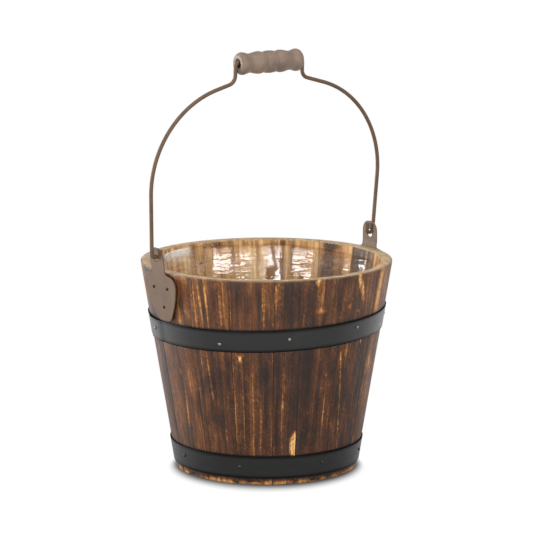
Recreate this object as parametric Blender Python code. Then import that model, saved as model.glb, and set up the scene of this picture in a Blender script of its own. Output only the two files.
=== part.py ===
"""Wooden bucket planter: a coopered stave bucket with two black hoops, a pair of
sheet-metal ears, a wire bail with a turned grip, and a clear film liner.

Frame: metres, +Z up, origin at the centre of the base on the ground,
+X along the line through the two ear holes, which is the bail's hinge axis.
"""
import math
from collections import namedtuple

import bmesh
import bpy
from mathutils import Vector

MM = 0.001

# Gap kept between pieces that touch
FIT = 0.3 * MM

# Stave body: a cone that widens upward
BODY_H = 216 * MM
RIM_R = 130 * MM
FOOT_R = 94 * MM
STAVE_WALL = 9.5 * MM
FIRST_JOINT_DEG = -14.8
STAVE_FACETS = 4
# Width of each stave, as the angle it fills: even where the photo shows nothing else
STAVE_WIDTHS_DEG = (
    21.2, 21.2, 21.2, 21.2, 21.2, 21.2, 21.2, 21.2, 16.9,
    25.9, 20.8, 20.8, 13.3, 21.2, 23.0, 23.3, 25.2,
)
EDGE_EASE = 1.2 * MM

# Floor boards, housed in a groove cut round the inside of the staves
FLOOR_LIFT = 13 * MM
FLOOR_T = 12 * MM
FLOOR_BOARDS = 3
GROOVE_DEPTH = 2.5 * MM

# Hoops: flat iron strip, lapped on itself, driven down onto the cone
HOOP_T = 0.9 * MM
UPPER_HOOP_H = 22.5 * MM
UPPER_HOOP_DOWN = 60.4 * MM
UPPER_HOOP_TILT = 4.2 * MM
UPPER_LAP_DEG = 159.7
LOWER_HOOP_H = 23.5 * MM
LOWER_HOOP_Z = 19.0 * MM
LOWER_LAP_DEG = 40.0
LAP_L = 27 * MM
JOGGLE_L = 8 * MM
LEAST_STEP = 0.3 * MM

# Nails: domed heads on plain shanks
HEAD_R = 1.7 * MM
HEAD_H = 0.9 * MM
SHANK_R = 0.75 * MM
HOOP_NAIL_L = 8.5 * MM
FLOOR_NAIL_L = 18 * MM
EAR_NAIL_L = 9 * MM
NAIL_SIDES = 8
# Shape of a nail, as shares of its shank's radius, its head's radius and its head's height
NAIL_TIP = 0.35
NAIL_TIP_L = 2.5
HEAD_DOME = ((0.0, 0.96), (0.35, 1.0), (0.8, 0.68), (1.0, 0.3))

# Each hoop nail: direction round the bucket in degrees, height above the hoop's middle
UPPER_NAILS = (
    (167.5, 1.4 * MM),
    (-147.0, -2.9 * MM),
    (-113.4, 1.7 * MM),
    (-75.8, 3.9 * MM),
    (-32.0, -1.0 * MM),
    (22.0, 1.5 * MM),
    (61.0, -2.0 * MM),
    (98.0, 1.0 * MM),
    (134.0, -1.0 * MM),
)
LOWER_NAILS = (
    (177.4, 1.5 * MM),
    (-140.3, 0.7 * MM),
    (-89.5, 2.0 * MM),
    (-48.6, 1.2 * MM),
    (-3.0, 0.6 * MM),
    (42.0, 1.8 * MM),
    (87.0, 0.8 * MM),
    (133.0, 1.5 * MM),
)

# Ears: flat sheet plates, a shield below the rim and a rounded tab above it
EAR_T = 1.2 * MM
EAR_TAB_W = 12.1 * MM
EAR_TAB_UP = 27 * MM
EAR_TAB_CORNER_R = 10 * MM
EAR_HOLE_UP = 14 * MM
EAR_HOLE_R = 4.2 * MM
EAR_SHOULDER_W = 30.5 * MM
EAR_SHOULDER_DOWN = 3 * MM
EAR_FLANK_W = 25 * MM
EAR_FLANK_DOWN = 26 * MM
EAR_FOOT_W = 11.5 * MM
EAR_FOOT_DOWN = 48.6 * MM
EAR_TIP_DOWN = 49.2 * MM
EAR_NECK_FILLET = 2.5 * MM
EAR_SHOULDER_FILLET = 9 * MM
EAR_FLANK_FILLET = 60 * MM
EAR_FOOT_FILLET = 9 * MM
EAR_STAND = 0.7 * MM
EAR_BEND_UP = 6 * MM
EAR_BEND_R = 12 * MM
EAR_HOLE_SIDES = 20
# Each ear nail: distance to one side, depth below the neck
EAR_NAILS = (
    (12.9 * MM, 13.9 * MM),
    (-12.2 * MM, 14.9 * MM),
    (2.2 * MM, 34.3 * MM),
)
# The plates are alike, but the left one hangs lower, its tab is bent out further, and its hole is
# a little lower
LEFT_EAR_DROP = 2.4 * MM
LEFT_HOLE_DROP = 0.6 * MM
LEFT_TAB_LEAN = 0.12
RIGHT_TAB_LEAN = 0.0
# How far the cutters reach to either side of the plates
PUNCH_REACH = 30 * MM

# Bail: one round wire, hooked through the ears and cranked up into the grip
WIRE_R = 2.0 * MM
WIRE_SIDES = 10
WIRE_LIFT = 1.0 * MM
LEG_CLEAR = 1.44 * MM
HOOK_CLEAR = 1.6 * MM
RIGHT_HOOK_L = 10.5 * MM
LEFT_HOOK_L = 6.5 * MM
HOOK_BEND_R = 3.2 * MM
LEG_SPLAY_DEG = 2.6
ARCH_R = 101.9 * MM
ARCH_CENTRE_UP = 66.8 * MM
ARCH_SWEEP_DEG = 74.3
CRANK_RISE = 27.6 * MM
# The wire is bent by hand, so both cranks sit a little to one side
CRANK_SHIFT = -2.6 * MM
CRANK_LOW_BEND_R = 9 * MM
CRANK_HIGH_BEND_R = 6 * MM
BAIL_LEAN_DEG = 3.5
BAIL_SLIDE = -1.8 * MM
BEND_STEP_DEG = 18
ARCH_STEP_DEG = 5.4

# Grip: a turned hardwood sleeve that spins on the wire
GRIP_L = 76 * MM
GRIP_R = 11.5 * MM
GRIP_BORE_R = 4.7 * MM
GRIP_END_PLAY = 1.0 * MM
GRIP_SLIDE = -0.7 * MM
BULB_BACK = 5 * MM
BULB_FACE_R = 7 * MM
MOUTH_EASE = 1.4 * MM
NECK_AT = 24.7 * MM
NECK_DEPTH = 1.7 * MM
SWELL_AT = 13.3 * MM
BEAD_EDGE_AT = 4.5 * MM
BEAD_GROOVE_AT = 5.8 * MM
BEAD_GROOVE_DEPTH = 1.3 * MM
BEAD_EDGE_DROP = 0.35 * MM
GRIP_CURVE_STEPS = 4
GRIP_SIDES = 24

# Liner: film shaped to the inside of the staves and floor
LINER_T = 0.5 * MM
LINER_CLEAR = 0.5 * MM
LINER_DROP = 1.5 * MM
TACK_HEAD_R = 1.6 * MM
TACK_HEAD_H = 0.8 * MM
TACK_SHANK_R = 0.5 * MM
TACK_L = 5.5 * MM
# Each tack: direction round the bucket in degrees, depth below the rim
LINER_TACKS = (
    (89.5, 4.5 * MM),
    (85.3, 4.5 * MM),
    (92.9, 21.4 * MM),
    (-90.0, 4.5 * MM),
    (-94.2, 4.5 * MM),
)

# Values worked out from the sizes above
SLOPE = (RIM_R - FOOT_R) / BODY_H
STAVES = len(STAVE_WIDTHS_DEG)
UPPER_HOOP_Z = BODY_H - UPPER_HOOP_DOWN
FLOOR_TOP = FLOOR_LIFT + FLOOR_T
HINGE_Z = BODY_H + EAR_HOLE_UP + WIRE_LIFT
HOOP_STACK = FIT + HOOP_T
Ear = namedtuple("Ear", "name turn_deg drop hole_up tab_lean")
RIGHT_EAR = Ear("ear_right", 0, 0.0, EAR_HOLE_UP, RIGHT_TAB_LEAN)
LEFT_EAR = Ear("ear_left", 180, LEFT_EAR_DROP, EAR_HOLE_UP - LEFT_HOLE_DROP, LEFT_TAB_LEAN)


def cone_r(z):
    """Outer radius of the staves at height z."""
    return FOOT_R + SLOPE * z


def polar(r, az, z):
    return Vector((r * math.cos(az), r * math.sin(az), z))


def wall_normal(az):
    """Outward normal of the bucket's outer face."""
    return Vector((math.cos(az), math.sin(az), -SLOPE)).normalized()


def joint_az(k):
    """Direction of the joint between stave k and the one before it."""
    before = sum(STAVE_WIDTHS_DEG[:k]) / sum(STAVE_WIDTHS_DEG)
    return math.radians(FIRST_JOINT_DEG) + math.tau * before


def stave_span(k):
    """Direction of the stave's middle, and half the angle it fills."""
    first, last = joint_az(k), joint_az(k + 1)
    return (first + last) / 2, (last - first) / 2


def stave_at(az):
    """The stave that lies in a direction."""
    turn = (az - joint_az(0)) % math.tau + joint_az(0)
    return max(k for k in range(STAVES) if joint_az(k) <= turn)


def facet_azimuths():
    """Directions of the corners of the round faces, all the way round."""
    found = []
    for k in range(STAVES):
        middle, half = stave_span(k)
        found += [middle - half + 2 * half * i / STAVE_FACETS for i in range(STAVE_FACETS)]
    return found


def chord_r(z, az):
    """Distance from the axis to the flat inner face of the staves."""
    middle, half = stave_span(stave_at(az))
    return (cone_r(z) - STAVE_WALL) * math.cos(half) / math.cos(az - middle)


def make_material(name, colour, roughness, metallic=0.0, alpha=1.0):
    material = bpy.data.materials.new(name)
    material.use_nodes = True
    shader = material.node_tree.nodes["Principled BSDF"]
    shader.inputs["Base Color"].default_value = (*colour, 1.0)
    shader.inputs["Roughness"].default_value = roughness
    shader.inputs["Metallic"].default_value = metallic
    shader.inputs["Alpha"].default_value = alpha
    return material


def add_object(name, bm, material, sharp_deg=30.0):
    mesh = bpy.data.meshes.new(name)
    bm.to_mesh(mesh)
    bm.free()
    mesh.shade_smooth()
    mesh.set_sharp_from_angle(angle=math.radians(sharp_deg))
    mesh.materials.append(material)
    obj = bpy.data.objects.new(name, mesh)
    bpy.context.scene.collection.objects.link(obj)
    return obj


def loft(bm, rings, closed=False):
    """Joins rings of points with quads; caps both ends unless the loft closes on itself."""
    made = [[bm.verts.new(p) for p in ring] for ring in rings]
    pairs = list(zip(made, made[1:]))
    if closed:
        pairs.append((made[-1], made[0]))
    for low, high in pairs:
        for i in range(len(low)):
            j = (i + 1) % len(low)
            bm.faces.new((low[i], low[j], high[j], high[i]))
    if not closed:
        bm.faces.new(reversed(made[0]))
        bm.faces.new(made[-1])


def turned(bm, start, direction, profile, sides):
    """Solid of revolution: profile is (distance along, radius) and starts and ends solid."""
    direction = direction.normalized()
    across = direction.orthogonal().normalized()
    other = direction.cross(across)
    rings = []
    for along, r in profile:
        ring = []
        for i in range(sides):
            turn = math.tau * i / sides
            spoke = across * math.cos(turn) + other * math.sin(turn)
            ring.append(start + direction * along + spoke * r)
        rings.append(ring)
    loft(bm, rings)


def add_nail(bm, seat, outward, length, head_r=HEAD_R, head_h=HEAD_H, shank_r=SHANK_R):
    """A nail whose head rests with its underside at seat and points outward."""
    profile = [
        (-length, shank_r * NAIL_TIP),
        (-length + NAIL_TIP_L * shank_r, shank_r),
        (0.0, shank_r),
    ]
    profile += [(up * head_h, out * head_r) for up, out in HEAD_DOME]
    turned(bm, seat, outward, profile, NAIL_SIDES)


def add_nail_hole(bm, seat, outward, length, shank_r=SHANK_R):
    """A drill for the nail's shank, with clearance, reaching past its tip."""
    r = (shank_r + FIT) / math.cos(math.pi / NAIL_SIDES)
    turned(bm, seat, outward, ((-length - FIT, r), (HEAD_H, r)), NAIL_SIDES)


def hide_cutter(obj):
    obj.hide_render = True
    obj.display_type = "WIRE"


def cut(obj, cutter, operation="DIFFERENCE"):
    modifier = obj.modifiers.new("cut_" + cutter.name, "BOOLEAN")
    modifier.operation = operation
    modifier.object = cutter
    modifier.solver = "EXACT"


def rounded(corners, step_deg):
    """Points along a line through corners of (x, y, radius), each corner turned as an arc."""
    points = [Vector(corners[0][:2])]
    for before, here, after in zip(corners, corners[1:], corners[2:]):
        corner = Vector(here[:2])
        into = (corner - Vector(before[:2])).normalized()
        out = (Vector(after[:2]) - corner).normalized()
        turn = into.angle_signed(out)
        reach = here[2] * math.tan(abs(turn) / 2)
        start = corner - into * reach
        side = Vector((-into.y, into.x)) * (-1.0 if turn > 0 else 1.0)
        centre = start + side * here[2]
        steps = max(2, math.ceil(math.degrees(abs(turn)) / step_deg))
        for i in range(steps + 1):
            angle = abs(turn) * i / steps
            points.append(centre - side * here[2] * math.cos(angle) + into * here[2] * math.sin(angle))
    points.append(Vector(corners[-1][:2]))
    return points


# Staves

def stave_section(k, outer_r, inner_r, round_inside):
    """Plan of stave k: round outside, flat inside unless it is in the groove."""
    middle, half = stave_span(k)
    first, last = middle - half, middle + half
    points = []
    for i in range(STAVE_FACETS + 1):
        az = first + 2 * half * i / STAVE_FACETS
        trim = math.asin(FIT / 2 / outer_r)
        az = min(max(az, first + trim), last - trim)
        points.append((outer_r, az))
    for i in reversed(range(STAVE_FACETS + 1)):
        az = first + 2 * half * i / STAVE_FACETS
        trim = math.asin(FIT / 2 / inner_r)
        az = min(max(az, first + trim), last - trim)
        r = inner_r if round_inside else inner_r * math.cos(half - trim) / math.cos(az - middle)
        points.append((r, az))
    return points


def make_stave(k, material):
    groove_r = cone_r(FLOOR_LIFT) - STAVE_WALL + GROOVE_DEPTH
    levels = (
        (0.0, EDGE_EASE, False),
        (EDGE_EASE, 0.0, False),
        (FLOOR_LIFT - FIT, 0.0, False),
        (FLOOR_LIFT - FIT, 0.0, True),
        (FLOOR_TOP + FIT, 0.0, True),
        (FLOOR_TOP + FIT, 0.0, False),
        (BODY_H - EDGE_EASE, 0.0, False),
        (BODY_H, EDGE_EASE, False),
    )
    rings = []
    for z, ease, in_groove in levels:
        outer_r = cone_r(z) - ease
        inner_r = groove_r if in_groove else cone_r(z) - STAVE_WALL + ease
        section = stave_section(k, outer_r, inner_r, in_groove)
        rings.append([polar(r, az, z) for r, az in section])
    bm = bmesh.new()
    loft(bm, rings)
    return add_object(f"stave_{k + 1:02d}", bm, material)


# Floor

def make_floor_boards(material):
    edge_r = cone_r(FLOOR_LIFT) - STAVE_WALL + GROOVE_DEPTH - FIT
    width = 2 * edge_r / FLOOR_BOARDS
    boards = []
    for n in range(FLOOR_BOARDS):
        bm = bmesh.new()
        rings = [[polar(edge_r, az, z) for az in facet_azimuths()] for z in (FLOOR_LIFT, FLOOR_TOP)]
        loft(bm, rings)
        low = -edge_r + n * width + FIT / 2
        high = -edge_r + (n + 1) * width - FIT / 2
        for y, normal, used in ((low, (0, -1, 0), n > 0), (high, (0, 1, 0), n < FLOOR_BOARDS - 1)):
            if used:
                everything = bm.verts[:] + bm.edges[:] + bm.faces[:]
                done = bmesh.ops.bisect_plane(
                    bm, geom=everything, plane_co=(0, y, 0), plane_no=normal, clear_outer=True
                )
                edges = [g for g in done["geom_cut"] if isinstance(g, bmesh.types.BMEdge)]
                bmesh.ops.edgeloop_fill(bm, edges=edges)
        bmesh.ops.recalc_face_normals(bm, faces=bm.faces[:])
        boards.append(add_object(f"floor_board_{n + 1}", bm, material))
    return boards


# Hoops

def upper_hoop_z(az):
    return UPPER_HOOP_Z + UPPER_HOOP_TILT * math.cos(az)


def lower_hoop_z(az):
    return LOWER_HOOP_Z


def hoop_lift(az, lap_deg, mid_z):
    """Height of the hoop's inner face off the staves: a second thickness in the lap."""
    along = (az - math.radians(lap_deg)) % math.tau * cone_r(mid_z)
    over = HOOP_T + FIT
    share = min(max((LAP_L + JOGGLE_L - along) / JOGGLE_L, 0.0), 1.0)
    return FIT + over * share


def make_hoop(name, mid_of, height, mid_z, lap_deg, material):
    """The strip starts on top at the lap, steps down, runs round and ends under its start."""
    start = math.radians(lap_deg)
    r = cone_r(mid_z)
    lap = LAP_L / r
    joggle = JOGGLE_L / r
    stops = {start, start + lap, start + lap + joggle}
    end = start + math.tau + lap - FIT / r
    for az in facet_azimuths():
        turned_to = start + (az - start) % math.tau
        stops.add(turned_to)
        if turned_to + math.tau < end:
            stops.add(turned_to + math.tau)
    stops.add(end)
    ordered = sorted(stops)
    kept = [ordered[0]]
    for az in ordered[1:-1]:
        if az - kept[-1] > LEAST_STEP / r and end - az > LEAST_STEP / r:
            kept.append(az)
    kept.append(end)
    rings = []
    for az in kept:
        lift = hoop_lift(az, lap_deg, mid_z) if az < start + math.pi else FIT
        ring = []
        for half, out in ((-0.5, 0.0), (-0.5, HOOP_T), (0.5, HOOP_T), (0.5, 0.0)):
            z = mid_of(az) + half * height
            ring.append(polar(cone_r(z) + lift + out, az, z))
        rings.append(ring)
    bm = bmesh.new()
    loft(bm, rings)
    bmesh.ops.recalc_face_normals(bm, faces=bm.faces[:])
    return add_object(name, bm, material)


def hoop_nail_seats(places, mid_of, mid_z, lap_deg):
    """Where each nail's head sits, and the way it points."""
    seats = []
    for degrees, up in places:
        az = math.radians(degrees)
        z = mid_of(az) + up
        stack = hoop_lift(az, lap_deg, mid_z) + HOOP_T + FIT
        normal = wall_normal(az)
        seats.append((polar(cone_r(z), az, z) + normal * stack, normal))
    return seats


# Ears, drawn for the +X side; the left one is then turned half a turn

def ear_slope():
    """The shield's lean: it stands off the wall at the rim, and its tip clears the hoop."""
    tip_x = cone_r(BODY_H - EAR_TIP_DOWN) + HOOP_STACK + FIT
    return (RIM_R + EAR_STAND - tip_x) / EAR_TIP_DOWN


def ear_bend(ear):
    """The bend between shield and tab: its height, half its length and the inner face's place."""
    turn = math.atan(ear_slope()) - math.atan(ear.tab_lean)
    bend_z = BODY_H + EAR_BEND_UP - ear.drop
    half = EAR_BEND_R * math.tan(abs(turn) / 2)
    return bend_z, half, RIM_R + EAR_STAND + ear_slope() * (bend_z - BODY_H)


def ear_face_x(ear, z):
    """The plate's inner face at a height."""
    slope = ear_slope()
    bend_z, half, bend_x = ear_bend(ear)
    if z < bend_z - half:
        return bend_x + slope * (z - bend_z)
    if z > bend_z + half:
        return bend_x + ear.tab_lean * (z - bend_z)
    past = z - bend_z + half
    return bend_x + slope * (z - bend_z) + (ear.tab_lean - slope) * past ** 2 / (4 * half)


def ear_outline(ear):
    """The plate's edge from the tab's top down one side to the tip, then mirrored, as (y, z)."""
    z = BODY_H - ear.drop
    corners = (
        (0.0, z + EAR_TAB_UP, 0.0),
        (EAR_TAB_W, z + EAR_TAB_UP, EAR_TAB_CORNER_R),
        (EAR_TAB_W, z, EAR_NECK_FILLET),
        (EAR_SHOULDER_W, z - EAR_SHOULDER_DOWN, EAR_SHOULDER_FILLET),
        (EAR_FLANK_W, z - EAR_FLANK_DOWN, EAR_FLANK_FILLET),
        (EAR_FOOT_W, z - EAR_FOOT_DOWN, EAR_FOOT_FILLET),
        (0.0, z - EAR_TIP_DOWN, 0.0),
    )
    right = rounded(corners, BEND_STEP_DEG)
    left = [Vector((-p.x, p.y)) for p in reversed(right[1:-1])]
    return right + left


def make_ear_sheet(ear):
    """Bent strip of the plate's thickness, wider and taller than the plate."""
    bm = bmesh.new()
    half_w = EAR_SHOULDER_W + EAR_T
    bend_z, half, _ = ear_bend(ear)
    heights = (
        BODY_H - ear.drop - EAR_TIP_DOWN - EAR_T,
        bend_z - half,
        bend_z,
        bend_z + half,
        BODY_H - ear.drop + EAR_TAB_UP + EAR_T,
    )
    rings = []
    for z in heights:
        x = ear_face_x(ear, z)
        corners = ((x, -half_w), (x, half_w), (x + EAR_T, half_w), (x + EAR_T, -half_w))
        rings.append([Vector((*corner, z)) for corner in corners])
    loft(bm, rings)
    bmesh.ops.recalc_face_normals(bm, faces=bm.faces[:])
    return bm


def make_ear_punch(ear):
    """The plate's outline, long enough to pass through the sheet."""
    bm = bmesh.new()
    ends = (RIM_R - PUNCH_REACH, RIM_R + PUNCH_REACH)
    loft(bm, [[Vector((x, p.x, p.y)) for p in ear_outline(ear)] for x in ends])
    bmesh.ops.recalc_face_normals(bm, faces=bm.faces[:])
    return bm


def ear_nail_seats(ear):
    normal = Vector((1.0, 0.0, -ear_slope())).normalized()
    seats = []
    for y, down in EAR_NAILS:
        z = BODY_H - ear.drop - down
        seats.append((Vector((ear_face_x(ear, z) + EAR_T, y, z)) + normal * FIT, normal))
    return seats


def make_ear_drill(ear):
    """The nails' holes and the big one that the bail hooks through."""
    bm = bmesh.new()
    for seat, outward in ear_nail_seats(ear):
        add_nail_hole(bm, seat, outward, EAR_NAIL_L)
    centre = Vector((RIM_R, 0, BODY_H + ear.hole_up))
    ends = ((-PUNCH_REACH, EAR_HOLE_R), (PUNCH_REACH, EAR_HOLE_R))
    turned(bm, centre, Vector((1, 0, 0)), ends, EAR_HOLE_SIDES)
    return bm


def make_ear(ear, material, guide):
    """The sheet, cut to its outline and drilled; the cutters turn with it."""
    plate = add_object(ear.name, make_ear_sheet(ear), material)
    punch = add_object(ear.name + "_punch", make_ear_punch(ear), guide)
    drill = add_object(ear.name + "_drill", make_ear_drill(ear), guide)
    for obj in (plate, punch, drill):
        obj.rotation_euler.z = math.radians(ear.turn_deg)
    hide_cutter(punch)
    hide_cutter(drill)
    cut(plate, punch, "INTERSECT")
    cut(plate, drill)


# Bail and grip, drawn in the bail's own plane with the hinge axis at the origin

def bail_leg_x():
    """Both legs stand outside the tabs; the left tab reaches out further."""
    return ear_face_x(LEFT_EAR, HINGE_Z) + EAR_T + LEG_CLEAR + WIRE_R


def bail_hook_x(side):
    """Each hook's end stands just inside its tab, though the bail has slid to one side."""
    ear = RIGHT_EAR if side > 0 else LEFT_EAR
    return ear_face_x(ear, HINGE_Z) - HOOK_CLEAR - WIRE_R - side * BAIL_SLIDE


def bail_hook_l(side):
    """The left hook was cut shorter."""
    return RIGHT_HOOK_L if side > 0 else LEFT_HOOK_L


def crank_x(side):
    """Distance of a crank from the bail's middle, on the side +1 or -1."""
    return GRIP_L / 2 + GRIP_END_PLAY + WIRE_R + side * CRANK_SHIFT


def bail_arch():
    """The big arc's centre and the angles where it starts and ends."""
    splay = math.radians(LEG_SPLAY_DEG)
    straight = (ARCH_CENTRE_UP - ARCH_R * math.sin(splay)) / math.cos(splay)
    centre_x = bail_leg_x() + straight * math.sin(splay) - ARCH_R * math.cos(splay)
    return Vector((centre_x, ARCH_CENTRE_UP)), -splay, math.radians(ARCH_SWEEP_DEG)


def crank_top_up():
    """The wire inside the grip stands a set height above the end of the arch."""
    centre, _, end = bail_arch()
    return centre.y + ARCH_R * math.sin(end) + CRANK_RISE


def crank_corner_up(side):
    """Height where the arch's tangent meets the upright part of the crank."""
    centre, _, end = bail_arch()
    x = centre.x + ARCH_R * math.cos(end)
    z = centre.y + ARCH_R * math.sin(end)
    return z + (x - crank_x(side)) / math.tan(end)


def grip_axis_up():
    """The grip hangs from the wire by the top of its bore."""
    return crank_top_up() - (GRIP_BORE_R - WIRE_R - FIT)


def bail_half_path(side):
    """One half's centre line, drawn toward +X, from the hook's tip to the middle of the grip."""
    centre, start, end = bail_arch()
    arch_start = centre + ARCH_R * Vector((math.cos(start), math.sin(start)))
    arch_end = centre + ARCH_R * Vector((math.cos(end), math.sin(end)))
    lower = rounded(
        (
            (bail_hook_x(side), bail_hook_l(side), 0.0),
            (bail_hook_x(side), 0.0, HOOK_BEND_R),
            (bail_leg_x(), 0.0, HOOK_BEND_R),
            (arch_start.x, arch_start.y, 0.0),
        ),
        BEND_STEP_DEG,
    )
    steps = round(math.degrees(end - start) / ARCH_STEP_DEG)
    arch = []
    for i in range(1, steps):
        angle = start + (end - start) * i / steps
        arch.append(centre + ARCH_R * Vector((math.cos(angle), math.sin(angle))))
    upper = rounded(
        (
            (arch_end.x, arch_end.y, 0.0),
            (crank_x(side), crank_corner_up(side), CRANK_LOW_BEND_R),
            (crank_x(side), crank_top_up(), CRANK_HIGH_BEND_R),
            (0.0, crank_top_up(), 0.0),
        ),
        BEND_STEP_DEG,
    )
    return lower + arch + upper


def bail_path():
    right = bail_half_path(1)
    left = [Vector((-p.x, p.y)) for p in reversed(bail_half_path(-1)[:-1])]
    return [Vector((p.x, 0, p.y)) for p in right + left]


def make_bail(material):
    path = bail_path()
    rings = []
    for i, point in enumerate(path):
        before = path[max(i - 1, 0)]
        after = path[min(i + 1, len(path) - 1)]
        into = (point - before).normalized() if i > 0 else (after - point).normalized()
        out = (after - point).normalized() if i < len(path) - 1 else into
        tangent = (into + out).normalized()
        side = Vector((tangent.z, 0, -tangent.x))
        stretch = 1.0 / into.dot(tangent)
        ring = []
        for n in range(WIRE_SIDES):
            turn = math.tau * n / WIRE_SIDES
            across = side * (math.cos(turn) * WIRE_R * stretch)
            ring.append(point + across + Vector((0, math.sin(turn) * WIRE_R, 0)))
        rings.append(ring)
    bm = bmesh.new()
    loft(bm, rings)
    bmesh.ops.recalc_face_normals(bm, faces=bm.faces[:])
    return add_object("bail_wire", bm, material, sharp_deg=60.0)


def grip_profile():
    """Outer side from the middle to the end face, as (distance along, radius)."""
    half = GRIP_L / 2
    stations = (
        (0.0, GRIP_R),
        (BEAD_EDGE_AT, GRIP_R - BEAD_EDGE_DROP),
        (BEAD_GROOVE_AT, GRIP_R - BEAD_GROOVE_DEPTH),
        (SWELL_AT, GRIP_R),
        (NECK_AT, GRIP_R - NECK_DEPTH),
        (half - BULB_BACK, GRIP_R),
    )
    points = [stations[0]]
    for (a, ra), (b, rb) in zip(stations, stations[1:]):
        steps = GRIP_CURVE_STEPS // 2 if b - a < 2 * BEAD_GROOVE_DEPTH else GRIP_CURVE_STEPS
        for i in range(1, steps + 1):
            share = i / steps
            ease = (1 - math.cos(math.pi * share)) / 2
            points.append((a + (b - a) * share, ra + (rb - ra) * ease))
    for i in range(1, GRIP_CURVE_STEPS + 1):
        angle = math.pi / 2 * i / GRIP_CURVE_STEPS
        along = half - BULB_BACK + BULB_BACK * math.sin(angle)
        points.append((along, BULB_FACE_R + (GRIP_R - BULB_FACE_R) * math.cos(angle)))
    return points


def make_grip(material):
    outer = grip_profile()
    mouth = (GRIP_L / 2 - MOUTH_EASE, GRIP_BORE_R)
    right = outer + [mouth]
    left = [(-along, r) for along, r in reversed(right)][:-1]
    loop = left + right
    rings = []
    for along, r in loop:
        ring = []
        for n in range(GRIP_SIDES):
            turn = math.tau * n / GRIP_SIDES
            ring.append(Vector((along, r * math.cos(turn), r * math.sin(turn))))
        rings.append(ring)
    bm = bmesh.new()
    loft(bm, rings, closed=True)
    bmesh.ops.recalc_face_normals(bm, faces=bm.faces[:])
    return add_object("handle_grip", bm, material, sharp_deg=50.0)


# Liner and its tacks

def liner_ring(z, inset):
    """Corner points of the film, where two inner faces meet once both are moved in."""
    corner_r = cone_r(z) - STAVE_WALL
    points = []
    for k in range(STAVES):
        (before, half_before), (after, half_after) = stave_span(k - 1 if k else STAVES - 1), stave_span(k)
        a = corner_r * math.cos(half_before) - inset
        b = corner_r * math.cos(half_after) - inset
        apart = math.sin(after - before)
        x = (a * math.sin(after) - b * math.sin(before)) / apart
        y = (b * math.cos(before) - a * math.cos(after)) / apart
        points.append(Vector((x, y, z)))
    return points


def make_liner(material):
    low = FLOOR_TOP + FIT
    high = BODY_H - LINER_DROP
    rings = (
        liner_ring(low, LINER_CLEAR),
        liner_ring(high, LINER_CLEAR),
        liner_ring(high, LINER_CLEAR + LINER_T),
        liner_ring(low + LINER_T, LINER_CLEAR + LINER_T),
    )
    bm = bmesh.new()
    loft(bm, rings)
    bmesh.ops.recalc_face_normals(bm, faces=bm.faces[:])
    return add_object("liner", bm, material)


def tack_seats():
    """Each tack's head lies on the film, and its shank goes out through it into a stave."""
    seats = []
    for degrees, down in LINER_TACKS:
        az = math.radians(degrees)
        z = BODY_H - down
        facing, half = stave_span(stave_at(az))
        inward = -Vector((math.cos(facing), math.sin(facing), -SLOPE * math.cos(half))).normalized()
        wood = polar(chord_r(z, az), az, z)
        seats.append((wood + inward * (LINER_CLEAR + LINER_T + FIT), inward))
    return seats


# Assembly

def remove_everything():
    for obj in list(bpy.context.scene.objects):
        bpy.data.objects.remove(obj, do_unlink=True)


def make_nails(prefix, seats, length, material, **sizes):
    """One object for each nail, numbered in the order of its group."""
    for n, (seat, outward) in enumerate(seats, start=1):
        bm = bmesh.new()
        add_nail(bm, Vector(), outward, length, **sizes)
        nail = add_object(f"{prefix}_{n}", bm, material, sharp_deg=40.0)
        nail.location = seat


def half_turn(seats):
    turn = Vector((-1, -1, 1))
    return [(seat * turn, outward * turn) for seat, outward in seats]


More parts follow.
